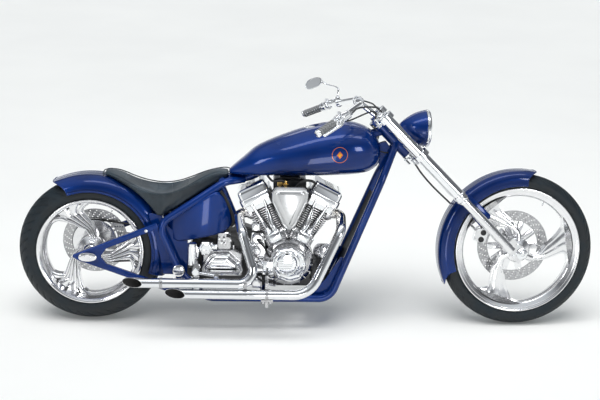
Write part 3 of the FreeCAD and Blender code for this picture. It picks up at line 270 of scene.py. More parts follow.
def metalLayers(colour, stain, rough, spread, wave=0.02, grain=0.0, grime=0.0, metal=1.0):
    def build(desk):
        smudge = desk.noise(24.0, 6.0).ramp(0.38, 0.72)
        base = desk.mix(smudge * 0.35, colour, stain)
        level = rough + smudge * spread
        if grime:
            pits = desk.noise(160.0, 8.0, 0.7).ramp(0.52, 0.72)
            base = desk.mix(pits * grime, base, (0.06, 0.055, 0.05, 1))
            level = level + pits * 0.25
        height = desk.noise(60.0, 2.0)
        if grain:
            height = height + desk.noise(900.0, 2.0) * grain
        normal = desk.bump(height, wave, 0.001)
        return desk.surface(Base_Color=base, Metallic=metal, Roughness=level, Normal=normal)
    return build


chrome = finish("chrome", metalLayers((0.93, 0.94, 0.955, 1), (0.83, 0.84, 0.86, 1), 0.045, 0.05))
polished = finish("polishedBillet", metalLayers((0.88, 0.88, 0.89, 1), (0.76, 0.76, 0.78, 1), 0.12,
                                                0.10, 0.03, 0.3))
satin = finish("satinPolish", metalLayers((0.64, 0.645, 0.65, 1), (0.60, 0.605, 0.61, 1), 0.20,
                                          0.03, 0.006, 0.05, 0.0, 0.72))
brightCast = finish("polishedCasting", metalLayers((0.60, 0.60, 0.61, 1), (0.38, 0.38, 0.40, 1), 0.14,
                                                   0.16, 0.08, 0.5, 0.22))
steel = finish("steel", metalLayers((0.47, 0.47, 0.48, 1), (0.30, 0.30, 0.31, 1), 0.24, 0.16, 0.06,
                                    0.8, 0.15))
brass = finish("brass", metalLayers((0.72, 0.49, 0.17, 1), (0.48, 0.30, 0.10, 1), 0.22, 0.16, 0.05,
                                    0.5, 0.1))


def pipeLayers(desk):  # chrome with soot down the open bores and a straw tint at the ports
    x, y, z = uprightSpot(desk)
    upper = (y + 0.25).hypot(z - 0.237)
    lower = (y + 0.25).hypot(z - 0.189)
    nearest = upper.maths("MINIMUM", upper, lower)
    soot = (nearest < 0.0211) * (x < 0.60)
    heat = z.ramp(0.46, 0.56)
    smudge = desk.noise(24.0, 6.0).ramp(0.38, 0.72)
    base = desk.mix(smudge * 0.3, (0.83, 0.84, 0.86, 1), (0.70, 0.71, 0.73, 1))
    base = desk.mix(heat * 0.35, base, (0.72, 0.60, 0.42, 1))
    base = desk.mix(soot, base, desk.mix(desk.noise(90.0), (0.006, 0.006, 0.007, 1),
                                         (0.022, 0.020, 0.019, 1)))
    normal = desk.bump(desk.noise(60.0, 2.0), 0.02, 0.001)
    return desk.surface(Base_Color=base, Metallic=1.0 - soot, Roughness=0.05 + smudge * 0.05 + soot * 0.8,
                        Normal=normal)


pipeChrome = finish("pipeChrome", pipeLayers)


def blackLayers(shine, rough, scale=220.0, strength=0.12, tone=(0.014, 0.014, 0.016, 1)):
    def build(desk):
        worn = desk.noise(30.0, 6.0).ramp(0.45, 0.75)
        base = desk.mix(worn * 0.5, tone, (0.045, 0.046, 0.050, 1))
        normal = desk.bump(desk.noise(scale, 4.0), strength, 0.0006)
        return desk.surface(Base_Color=base, Roughness=rough + worn * 0.18, Coat_Weight=shine,
                            Coat_Roughness=0.2, Normal=normal)
    return build


blackCoat = finish("blackCoat", blackLayers(0.35, 0.34))
blackRubber = finish("blackRubber", blackLayers(0.0, 0.62, 300.0, 0.3, (0.018, 0.018, 0.019, 1)))


def tyreLayers(desk):
    grime = desk.noise(12.0, 7.0).ramp(0.35, 0.75)
    base = desk.mix(grime, (0.0032, 0.0072, 0.0102, 1), (0.0078, 0.0165, 0.0235, 1))
    fleck = desk.noise(420.0, 3.0).ramp(0.62, 0.72)
    base = desk.mix(fleck * 0.15, base, (0.07, 0.07, 0.068, 1))
    normal = desk.bump(desk.noise(500.0, 3.0), 0.22, 0.0005)
    return desk.surface(Base_Color=base, Roughness=0.52 + grime * 0.22, Normal=normal)


tyreRubber = finish("tyreRubber", tyreLayers)


def gripLayers(desk):
    grain = desk.noise(260.0, 4.0)
    base = desk.mix(grain.ramp(0.3, 0.7), (0.16, 0.165, 0.17, 1), (0.27, 0.275, 0.28, 1))
    return desk.surface(Base_Color=base, Roughness=0.58 + grain * 0.2,
                        Normal=desk.bump(grain, 0.25, 0.0006))


gripRubber = finish("gripRubber", gripLayers)


def leatherLayers(desk):
    grain = desk.cells(520.0)
    crease = desk.noise(70.0, 7.0, 0.65)
    wear = desk.noise(9.0, 5.0).ramp(0.42, 0.7)
    base = desk.mix(wear * 0.6, (0.0125, 0.0235, 0.0330, 1), (0.040, 0.068, 0.092, 1))
    base = desk.mix(crease.ramp(0.55, 0.8) * 0.4, base, (0.008, 0.009, 0.010, 1))
    height = grain * 0.55 + crease * 0.8
    normal = desk.bump(height, 0.32, 0.0006)
    rough = 0.34 + desk.noise(45.0, 5.0) * 0.2 - wear * 0.06
    return desk.surface(Base_Color=base, Roughness=rough, Coat_Weight=0.12, Coat_Roughness=0.35,
                        Normal=normal)


seatLeather = finish("seatLeather", leatherLayers)


def braidLayers(desk):  # woven jacket of the hoses
    weave = desk.node("ShaderNodeTexWave", {"bands_direction": "DIAGONAL"},
                      {"Vector": desk.spot(), "Scale": 260.0, "Distortion": 1.5})
    base = desk.mix(weave, (0.012, 0.012, 0.013, 1), (0.055, 0.056, 0.060, 1))
    return desk.surface(Base_Color=base, Roughness=0.45 + weave * 0.2, Normal=desk.bump(weave, 0.4, 0.0005))


braid = finish("braidedJacket", braidLayers)


def mirrorLayers(desk):
    haze = desk.noise(34.0, 6.0).ramp(0.45, 0.8)
    base = desk.mix(haze * 0.3, (0.80, 0.81, 0.82, 1), (0.68, 0.70, 0.71, 1))
    return desk.surface(Base_Color=base, Metallic=1.0, Roughness=0.02 + haze * 0.05)


mirrorGlass = finish("mirrorGlass", mirrorLayers)


# near-black mottled finish for painted shade: dark sheets put where shade falls between parts
def paintedShadeLayers(desk):
    mottle = desk.noise(60.0, 4.0)
    base = desk.mix(mottle, (0.0035, 0.006, 0.011, 1), (0.007, 0.011, 0.019, 1))
    return desk.surface(Base_Color=base, Roughness=0.34 + mottle * 0.2, Specular_IOR_Level=0.12)


paintedShadeBlack = finish("paintedShadeBlack", paintedShadeLayers)


def lensLayers(desk):
    haze = desk.noise(40.0, 5.0).ramp(0.4, 0.8)
    flutes = desk.node("ShaderNodeTexWave", {"bands_direction": "Y"},
                       {"Vector": desk.spot(), "Scale": 28.0})
    return desk.surface(Base_Color=(0.97, 0.98, 1.0, 1), Roughness=0.02 + haze * 0.05,
                        Transmission_Weight=1.0, IOR=1.45, Normal=desk.bump(flutes, 0.25, 0.002))


lensGlass = finish("lensGlass", lensLayers)


def diskLayers(desk):  # swept rings on the brake discs
    ring = desk.noise(140.0, 5.0).ramp(0.35, 0.7)
    base = desk.mix(ring, (0.46, 0.46, 0.47, 1), (0.60, 0.60, 0.61, 1))
    normal = desk.bump(desk.noise(700.0, 2.0), 0.12, 0.0005)
    return desk.surface(Base_Color=base, Metallic=1.0, Roughness=0.26 + ring * 0.12, Normal=normal)


brakeSteel = finish("brakeSteel", diskLayers)
print("finishes made")


# ---- shape helpers

def spin(shape, rows, place, steps=48, start=0.0, sweep=360.0, looped=False, tint=0):
    # rows of (radius, height) turned about the local Z of a place
    whole = sweep == 360.0
    count = steps if whole else steps + 1
    rings = []
    for radius, height in rows:
        if radius < 1e-6:
            rings.append([shape.verts.new(place @ Vector((0, 0, height)))])
            continue
        ring = []
        for number in range(count):
            angle = math.radians(start + sweep * number / steps)
            spot = Vector((radius * math.cos(angle), radius * math.sin(angle), height))
            ring.append(shape.verts.new(place @ spot))
        rings.append(ring)
    pairs = list(zip(rings, rings[1:]))
    if looped:
        pairs.append((rings[-1], rings[0]))
    for first, second in pairs:
        for number in range(steps):
            following = (number + 1) % count
            corners = [first[number % len(first)], first[following % len(first)],
                       second[following % len(second)], second[number % len(second)]]
            corners = list(dict.fromkeys(corners))
            if len(corners) > 2:
                shape.faces.new(corners).material_index = tint
    if not whole and looped:
        shape.faces.new([ring[0] for ring in rings]).material_index = tint
        shape.faces.new([ring[-1] for ring in reversed(rings)]).material_index = tint


def skin(shape, rings, looped=False, caps=True, tint=0):
    made = [[shape.verts.new(spot) for spot in ring] for ring in rings]
    pairs = list(zip(made, made[1:]))
    if looped:
        pairs.append((made[-1], made[0]))
    for first, second in pairs:
        for number in range(len(first)):
            following = (number + 1) % len(first)
            face = shape.faces.new((first[number], first[following], second[following], second[number]))
            face.material_index = tint
    if caps and not looped:
        shape.faces.new(list(reversed(made[0]))).material_index = tint
        shape.faces.new(made[-1]).material_index = tint


def rounded(points, radius, steps=5):
    # outline with its corners rounded; a point may carry its own radius
    result = []
    for number, point in enumerate(points):
        corner = Vector(point[:2])
        back = Vector(points[number - 1][:2]) - corner
        ahead = Vector(points[(number + 1) % len(points)][:2]) - corner
        bend = point[2] if len(point) > 2 else radius
        half = back.angle(ahead) / 2
        reach = min(bend / math.tan(half), back.length * 0.48, ahead.length * 0.48)
        bend = reach * math.tan(half)
        first = corner + back.normalized() * reach
        last = corner + ahead.normalized() * reach
        middle = corner + (back.normalized() + ahead.normalized()).normalized() * (bend / math.sin(half))
        begin = math.atan2(first.y - middle.y, first.x - middle.x)
        end = math.atan2(last.y - middle.y, last.x - middle.x)
        sweep = (end - begin + math.pi) % (2 * math.pi) - math.pi
        for step in range(steps + 1):
            angle = begin + sweep * step / steps
            result.append((middle.x + bend * math.cos(angle), middle.y + bend * math.sin(angle)))
    return result


def inset(outline, amount):
    # outline moved inward by an amount
    area = sum(a[0] * b[1] - b[0] * a[1] for a, b in zip(outline, outline[1:] + outline[:1]))
    side = 1 if area > 0 else -1
    result = []
    for number, point in enumerate(outline):
        back = Vector(point) - Vector(outline[number - 1])
        ahead = Vector(outline[(number + 1) % len(outline)]) - Vector(point)
        normals = [Vector((-way.y, way.x)).normalized() * side for way in (back, ahead)
                   if way.length > 1e-6]
        middle = sum(normals, Vector((0, 0)))
        middle.normalize()
        stretch = max(middle.dot(normals[0]), 0.6)
        result.append(tuple(Vector(point) + middle * (amount / stretch)))
    return result


def slab(shape, outline, layers, place, tint=0):
    # an outline in the local XY, stacked as (inset, height) layers and closed at both ends
    rings = []
    for amount, height in layers:
        rings.append([place @ Vector((x, y, height)) for x, y in inset(outline, amount)])
    skin(shape, rings, tint=tint)


def softEdge(height, bevel=3.0, steps=3, base=0.0):
    # layers of a block with rounded top and bottom edges
    layers = []
    for step in range(steps + 1):
        angle = math.pi / 2 * step / steps
        layers.append((bevel * (1 - math.sin(angle)), base + bevel * (1 - math.cos(angle))))
    for step in range(steps + 1):
        angle = math.pi / 2 * step / steps
        layers.append((bevel * (1 - math.cos(angle)), base + height - bevel * (1 - math.sin(angle))))
    return layers


def oblong(wide, high, radius, steps=5):
    return rounded([(-wide / 2, -high / 2), (wide / 2, -high / 2), (wide / 2, high / 2),
                    (-wide / 2, high / 2)], radius, steps)


def softBox(shape, wide, deep, high, place, radius=6.0, bevel=3.0, tint=0):
    slab(shape, oblong(wide, deep, radius), softEdge(high, bevel, base=-high / 2), place, tint)


def rod(shape, start, end, radius, steps=20, tint=0, bevel=0.8, endRadius=None):
    # straight round bar with broken edges
    start, end = Vector(start), Vector(end)
    long = (end - start).length
    last = radius if endRadius is None else endRadius
    rows = [(0, 0), (radius - bevel, 0), (radius, bevel), (last, long - bevel), (last - bevel, long),
            (0, long)]
    spin(shape, rows, aimed(start, end - start), steps, tint=tint)


def tubeAlong(shape, spots, radius, sides=10, looped=False, tint=0):
    spots = [Vector(spot) for spot in spots]
    rings = []
    side = None
    for number, spot in enumerate(spots):
        before = spots[number - 1] if number or looped else spot
        after = spots[(number + 1) % len(spots)] if number < len(spots) - 1 or looped else spot
        way = (after - before).normalized()
        if side is None:
            side = way.orthogonal().normalized()
        side = (side - way * side.dot(way)).normalized()
        other = way.cross(side)
        thick = radius[number] if isinstance(radius, list) else radius
        rings.append([spot + (side * math.cos(turn) + other * math.sin(turn)) * thick
                      for turn in (2 * math.pi * step / sides for step in range(sides))])
    skin(shape, rings, looped, tint=tint)


def through(rows, steps):
    # smooth curve through rows of numbers, each stretch cut into steps
    result = []
    for number in range(len(rows) - 1):
        before = rows[max(number - 1, 0)]
        first, second = rows[number], rows[number + 1]
        after = rows[min(number + 2, len(rows) - 1)]
        for step in range(steps):
            t = step / steps
            result.append([0.5 * (2 * b + (c - a) * t + (2 * a - 5 * b + 4 * c - d) * t * t
                                  + (3 * b - a - 3 * c + d) * t ** 3)
                           for a, b, c, d in zip(before, first, second, after)])
    result.append(list(rows[-1]))
    return result


def between(rows, at):
    # straight-line value of a table at a place
    for first, second in zip(rows, rows[1:]):
        if at <= second[0]:
            t = (at - first[0]) / (second[0] - first[0])
            return [a + (b - a) * t for a, b in zip(first[1:], second[1:])]
    return list(rows[-1][1:])


def linked(name, mesh):
    made = bpy.data.objects.new(name, mesh)
    bpy.context.scene.collection.objects.link(made)
    return made


def settled(made):
    # the object's mesh with its modifiers worked in
    bpy.context.view_layer.update()
    return bpy.data.meshes.new_from_object(made.evaluated_get(bpy.context.evaluated_depsgraph_get()))


def given(made, body, instead=()):
    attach(made, body)
    if instead:
        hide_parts(*instead)
    return made


def meshOf(name, shape, finishes, recalculated=True):
    if recalculated:
        bmesh.ops.recalc_face_normals(shape, faces=shape.faces)
    mesh = bpy.data.meshes.new(name)
    shape.to_mesh(mesh)
    shape.free()
    for look in finishes:
        mesh.materials.append(look)
    return mesh


def smoothed(mesh, crease):
    mesh.shade_smooth()
    mesh.set_sharp_from_angle(angle=math.radians(crease))


def piece(name, shape, place, finishes, body, instead=(), crease=32):
    mesh = meshOf(name, shape, finishes)
    mesh.transform(place)
    smoothed(mesh, crease)
    return given(linked(name, mesh), body, instead)


# ---- geometry node helpers

def newTree(name, inputs):
    tree = bpy.data.node_groups.new(name, "GeometryNodeTree")
    tree.interface.new_socket("Geometry", in_out="INPUT", socket_type="NodeSocketGeometry")
    for label, value in inputs.items():
        kind = "NodeSocketInt" if isinstance(value, int) else "NodeSocketFloat"
        tree.interface.new_socket(label, in_out="INPUT", socket_type=kind)
    tree.interface.new_socket("Geometry", in_out="OUTPUT", socket_type="NodeSocketGeometry")
    desk = Desk(tree)
    source = desk.node("NodeGroupInput").socket.node
    return desk, {output.name: Wire(desk, output) for output in source.outputs if output.name}


def grown(name, mesh, desk, result, looks, values):
    # runs a tree over a mesh: realize, set the materials, and give back a plain mesh
    solid = desk.node("GeometryNodeRealizeInstances", {}, {0: result})
    for look, mark in looks:
        inputs = {"Geometry": solid, "Material": look}
        if mark:
            inputs["Selection"] = desk.node("GeometryNodeInputNamedAttribute", {"data_type": "BOOLEAN"},
                                            {"Name": mark})
        solid = desk.node("GeometryNodeSetMaterial", {}, inputs)
    target = desk.tree.nodes.new("NodeGroupOutput")
    desk.tree.links.new(solid.socket, target.inputs[0])
    made = linked(name, mesh)
    modifier = made.modifiers.new(name, "NODES")
    modifier.node_group = desk.tree
    for item in desk.tree.interface.items_tree:
        if item.in_out == "INPUT" and item.name in values:
            modifier[item.identifier] = values[item.name]
    plain = settled(made)
    made.modifiers.remove(modifier)
    bpy.data.objects.remove(made)
    return plain


# screws gather here and are set in one go for each body
screws = {"frame": [], "steering": [], "front_wheel": [], "rear_wheel": [], "side_stand": []}


def screw(body, place, spot, way, size):
    screws[body].append((place @ Vector(spot), (place.to_3x3() @ Vector(way)).normalized(), size * mm))


def screwRing(body, place, centre, way, radius, count, size, start=0.0):
    local = aimed(centre, way)
    for number in range(count):
        angle = math.radians(start + 360 * number / count)
        hole = local @ Vector((radius * math.cos(angle), radius * math.sin(angle), 0))
        screw(body, place, hole, way, size)


def screwMesh(name, rows, values, look):
    desk, inputs = newTree(name, values)
    points = desk.node("GeometryNodeMeshToPoints", {}, {0: inputs["Geometry"]})
    way = desk.node("GeometryNodeInputNamedAttribute", {"data_type": "FLOAT_VECTOR"}, {"Name": "aim"})
    size = desk.node("GeometryNodeInputNamedAttribute", {"data_type": "FLOAT"}, {"Name": "size"})
    turn = desk.node("FunctionNodeAlignRotationToVector", {"axis": "Z"}, {"Vector": way})
    parts = []
    for corners, wide, high, lift in ((6, 1.0, inputs["head"], 0.42), (14, inputs["washer"], 0.28, 0.1),
                                      (8, 0.42, 0.3, 0.86)):
        drum = desk.node("GeometryNodeMeshCylinder", {}, {"Vertices": corners, "Radius": wide,
                                                          "Depth": high})
        shift = desk.node("ShaderNodeCombineXYZ", {}, {2: lift})
        parts.append(desk.node("GeometryNodeTransform", {}, {"Geometry": drum, "Translation": shift}))
    head = desk.node("GeometryNodeJoinGeometry", {}, {})
    for part in parts:
        desk.tree.links.new(part.socket, head.socket.node.inputs[0])
    placed = desk.node("GeometryNodeInstanceOnPoints", {}, {"Points": points, "Instance": head,
                                                           "Rotation": turn, "Scale": size})
    mesh = bpy.data.meshes.new(name)
    mesh.from_pydata([tuple(row[0]) for row in rows], [], [])
    mesh.attributes.new("aim", "FLOAT_VECTOR", "POINT")
    mesh.attributes.new("size", "FLOAT", "POINT")
    for number, row in enumerate(rows):
        mesh.attributes["aim"].data[number].vector = row[1]
        mesh.attributes["size"].data[number].value = row[2]
    return grown(name, mesh, desk, placed, [(look, None)], values)


def nurbsTube(name, spots, radius, place, look, body, instead=()):
    # round bar on a smooth curve
    curve = bpy.data.curves.new(name, "CURVE")
    curve.dimensions = "3D"
    line = curve.splines.new("NURBS")
    line.points.add(len(spots) - 1)
    for point, spot in zip(line.points, spots):
        point.co = (*(place @ Vector(spot)), 1)
    line.order_u = 3
    line.use_endpoint_u = True
    line.resolution_u = 10
    curve.bevel_depth = radius * mm
    curve.bevel_resolution = 4
    curve.use_fill_caps = True
    made = linked(name + "Curve", curve)
    mesh = settled(made)
    bpy.data.objects.remove(made)
    mesh.materials.clear()
    mesh.materials.append(look)
    smoothed(mesh, 50)
    return given(linked(name, mesh), body, instead)


# ---- tyres and wheels

def wheelPoint(radius, degrees, y):
    return Vector((radius * math.cos(math.radians(degrees)), y, radius * math.sin(math.radians(degrees))))


tyreLook = {
    "front": {"crown": 55, "outer": 349.98, "shoulder": 65, "lip": 289, "bead": 38.5, "bulge": 50.5,
              "count": 44, "depth": 2.6, "slope": 0.045, "inner": 7.0, "edge": 46.0},
    "rear": {"crown": 95, "outer": 326.9, "shoulder": 66, "lip": 242, "bead": 79, "bulge": 90,
             "count": 40, "depth": 3.2, "slope": 0.030, "inner": 12.0, "edge": 82.0},
}


def tyre(end):
    look = tyreLook[end]
    centre = look["outer"] - look["crown"]
    rows = [(look["lip"] - 12, -look["bead"] + 3), (look["lip"], -look["bead"])]
    shoulderY = look["crown"] * math.sin(math.radians(look["shoulder"]))
    shoulderR = centre + look["crown"] * math.cos(math.radians(look["shoulder"]))
    for step in range(1, 9):
        t = step / 9
        swell = math.sin(math.pi * t ** 0.8)
        flat = look["bead"] + (shoulderY - look["bead"]) * t
        rows.append((look["lip"] + (shoulderR - look["lip"]) * t,
                     -flat - swell * (look["bulge"] - look["bead"]) * 0.34))
    steps = 44
    crown = []
    for step in range(steps + 1):
        angle = math.radians(-look["shoulder"] + 2 * look["shoulder"] * step / steps)
        crown.append((centre + look["crown"] * math.cos(angle), look["crown"] * math.sin(angle)))
    rows = rows + crown + [(radius, -y) for radius, y in reversed(rows)]
    shape = bmesh.new()
    spin(shape, rows, acrossAt(0, 0, 0), 440, looped=True)
    base = meshOf(end + "TyreBase", shape, [tyreRubber])
    base.shade_smooth()
    values = {"grooves": look["count"], "depth": float(look["depth"]), "slope": look["slope"],
              "inner": look["inner"], "edge": look["edge"], "width": 0.2}
    desk, inputs = newTree(end + "Tread", values)
    x, y, z = desk.split(desk.node("GeometryNodeInputPosition"))
    around = desk.node("ShaderNodeMath", {"operation": "ARCTAN2"},
                       {0: z, 1: x}) * inputs["grooves"] / (2 * math.pi)
    swept = around + abs(y) * inputs["slope"] + (y > 0) * 0.5
    cut = desk.node("ShaderNodeMath", {"operation": "FRACT"}, {0: swept + 100.0}) < inputs["width"]
    band = (abs(y) > inputs["inner"]) * (abs(y) < inputs["edge"])
    middle = abs(abs(y) - inputs["inner"] * 0.8) < 1.3
    groove = desk.node("ShaderNodeMath", {"operation": "MAXIMUM"}, {0: cut * band, 1: middle})
    reach = groove * inputs["depth"] * -1.0
    push = desk.node("ShaderNodeVectorMath", {"operation": "SCALE"},
                     {0: desk.node("GeometryNodeInputNormal"), "Scale": reach})
    carved = desk.node("GeometryNodeSetPosition", {}, {"Geometry": inputs["Geometry"], "Offset": push})
    mesh = grown(end + "Tread", base, desk, carved, [(tyreRubber, None)], values)
    mesh.shade_smooth()
    mesh.transform(wheelPlace(end))
    mesh.set_sharp_from_angle(angle=math.radians(38))
    given(linked(end + "TyreCarved", mesh), end + "_wheel", (end + "_tyre",))


rimLook = {
    "front": {
        "lip": 288, "half": 43, "seat": 271.8, "barrel": 254, "hub": 30, "right": 62, "left": 64.5,
        "phases": (10, 130, 250), "bands": ((0.0, 1.0),),
        "sweep": ((46, -62, -28), (66, -54, -32), (84, -47, -29), (108, -37, -17), (135, -31, -2),
                  (165, -23, 5), (210, -15, 13), (232, -17, 17), (246, -24, 24), (255, -30, 30)),
        "face": ((46, -36), (84, -27), (135, -22), (200, -20), (246, -25), (255, -30)),
        "back": ((46, 30), (84, 14), (135, 9), (200, 9), (255, 14)),
    },
    "rear": {
        "lip": 240, "half": 84, "seat": 230.8, "barrel": 214, "hub": 34, "right": 66, "left": 70,
        "phases": (-1, 119, 239), "bands": ((0.0, 0.20), (0.26, 0.47), (0.53, 0.74), (0.80, 1.0)),
        "sweep": ((44, -70, -20), (58, -60, -22), (72, -50, -18), (92, -39, -12), (113, -31, 1),
                  (138, -22, 8), (172, -16, 16), (192, -20, 20), (206, -26, 26), (215, -30, 30)),
        "face": ((44, -44), (72, -32), (113, -24), (170, -20), (215, -26)),
        "back": ((44, 34), (72, 24), (113, 18), (215, 20)),
    },
}


def rim(end):
    look = rimLook[end]
    lip, half, barrel = look["lip"], look["half"], look["barrel"]
    shape = bmesh.new()
    wallIn = barrel + 3
    edge = [
        (look["seat"], -half + 5), (lip - 1.5, -half + 5), (lip, -half + 3.4), (lip, -half + 1.0),
        (lip - 1.2, -half - 0.2), (lip - 4, -half - 0.6), (lip - 8, -half + 0.6), (lip - 10.5, -half + 3.0),
        (lip - 13, -half + 4.2), (barrel + 15, -half + 6.5), (barrel + 9, -half + 12),
    ]
    if end == "front":
        inner = [(barrel + 3, -29), (barrel, -26), (barrel - 4, -22), (barrel - 6, -16), (barrel - 6, 12),
                 (barrel - 3, 18), (wallIn, 26)]
    else:
        inner = [(barrel + 8, -64), (barrel + 6, -44), (barrel + 2, -24), (barrel - 4, -18),
                 (barrel - 8, -12), (barrel - 8, 16), (barrel - 3, 22), (barrel + 6, 40), (barrel + 8, 64)]
    far = [(radius, -y) for radius, y in reversed(edge)]
    spin(shape, edge + inner + far, acrossAt(0, 0, 0), 128, looped=True)
    for phase in look["phases"]:
        for low, high in look["bands"]:
            rings = []
            stations = through(look["sweep"], 4)
            ridges = 3 if len(look["bands"]) == 1 else 1
            for radius, start, stop in stations:
                face = between(look["face"], radius)[0]
                back = between(look["back"], radius)[0]
                lean = start + (stop - start) * low
                width = (stop - start) * (high - low)
                ring = []
                for step in range(19):
                    s = step / 18
                    crown = 5.0 * (1 - (2 * s - 1) ** 2)
                    groove = 0.0
                    if ridges == 3 and 84 < radius < 250:
                        fade = min(1, (radius - 84) / 40) * min(1, (250 - radius) / 20)
                        groove = 2.6 * fade * max(0, math.cos(2 * math.pi * 3 * s) * -1)
                    ring.append(wheelPoint(radius, phase + lean + width * s, face - crown + groove))
                for step in range(7):
                    s = 1 - step / 6
                    ring.append(wheelPoint(radius, phase + lean + width * s, back))
                rings.append(ring)
            skin(shape, rings)
    hub, right = look["hub"], look["right"]
    spin(shape, [(0, -right), (hub - 12, -right), (hub - 9, -right + 3), (hub - 2, -right + 3),
                 (hub, -right + 6), (hub + 1, -right + 16), (hub + 12, -right + 26),
                 (hub + 24, -right + 31),
                 (hub + 28, -right + 36), (hub + 28, 12), (hub + 6, 26), (hub + 2, look["left"]),
                 (0, look["left"])], acrossAt(0, 0, 0), 64)
    local = wheelPlace(end)
    screwRing(end + "_wheel", local, (0, -right + 34, 0), rightward, hub + 20, 6, 3.6, 15)
    stem = wheelPoint(barrel + 4, 62, -6)
    rod(shape, stem, stem - stem.normalized() * 26 + Vector((0, -12, 0)), 3.2, 12)
    piece(end + "RimSpokes", shape, local, [polished], end + "_wheel", (end + "_rim",), 40)


diskLook = {"front": {"outer": 165, "inner": 118, "y": 67, "hub": 32},
            "rear": {"outer": 150, "inner": 104, "y": 128, "hub": 36}}


def brakeDisk(end):
    look = diskLook[end]
    shape = bmesh.new()
    spin(shape, [(look["inner"], -2.4), (look["outer"] - 0.6, -2.4), (look["outer"], -1.8),
                 (look["outer"], 1.8),
                 (look["outer"] - 0.6, 2.4), (look["inner"], 2.4)], Matrix.Identity(4), 96, looped=True)
    ring = meshOf(end + "DiskRing", shape, [brakeSteel])
    values = {"holes": 30, "hole": 3.2, "first": float(look["inner"] + 9), "step": 9.5}
    desk, inputs = newTree(end + "DiskHoles", values)
    drills = desk.node("GeometryNodeJoinGeometry")
    for row in range(4):
        circle = desk.node("GeometryNodeMeshCircle", {}, {"Vertices": inputs["holes"],
                                                          "Radius": inputs["first"] + inputs["step"] * row})
        turned = desk.node("GeometryNodeTransform", {}, {"Geometry": circle,
                                                         "Rotation": (0, 0, row * 0.052)})
        desk.tree.links.new(turned.socket, drills.socket.node.inputs[0])
    drill = desk.node("GeometryNodeMeshCylinder", {}, {"Vertices": 10, "Radius": inputs["hole"],
                                                       "Depth": 12.0})
    bits = desk.node("GeometryNodeInstanceOnPoints", {}, {"Points": drills, "Instance": drill})
    tool = desk.node("GeometryNodeRealizeInstances", {}, {0: bits})
    drilled = desk.node("GeometryNodeMeshBoolean", {"operation": "DIFFERENCE"},
                        {"Mesh 1": inputs["Geometry"], "Mesh 2": tool})
    mesh = grown(end + "DiskHoles", ring, desk, drilled, [(brakeSteel, None)], values)
    shape = bmesh.new()
    shape.from_mesh(mesh)
    shape.transform(acrossAt(0, look["y"], 0))
    hub, inner = look["hub"], look["inner"]
    outline = []
    for number in range(10):  # scalloped carrier with ten arms
        for offset, radius in ((-15, hub + 26), (-7, inner + 2), (7, inner + 2), (15, hub + 26)):
            angle = math.radians(36 * number + offset)
            outline.append((radius * math.cos(angle), radius * math.sin(angle)))
    slab(shape, rounded(outline, 9, 3), softEdge(6.5, 1.2, 2, base=look["y"] - 6), sideOn(0, 1), tint=1)
    spin(shape, [(hub, look["y"] - 8), (hub + 16, look["y"] - 8), (hub + 18, look["y"] - 6),
                 (hub + 18, look["y"] + 3), (hub, look["y"] + 3)], acrossAt(0, 0, 0), 48, looped=True,
         tint=1)
    local = wheelPlace(end)
    screwRing(end + "_wheel", local, (0, look["y"] + 0.5, 0), leftward, inner - 3, 10, 3.0, 0)
    screwRing(end + "_wheel", local, (0, look["y"] - 6, 0), rightward, inner - 3, 10, 3.0, 0)
    piece(end + "DiskDrilled", shape, local, [brakeSteel, polished], end + "_wheel",
          (end + "_brake_disc",), 30)


for end in ("front", "rear"):
    tyre(end)
    rim(end)
    brakeDisk(end)
print("wheels made")

# ---- fenders: rolled sheets over the wheels

fenderLook = {
    "front": {"top": 369, "edge": 303, "half": 66, "corner": 42, "start": 78, "span": 129, "wall": 3,
              "frontRound": 7, "tailRound": 9},
    "rear": {"top": 349, "edge": 280, "half": 100, "corner": 62, "start": -19, "span": 138, "wall": 3,
             "flare": 5, "flareSpan": 13, "frontRound": 0, "tailRound": 9},
}


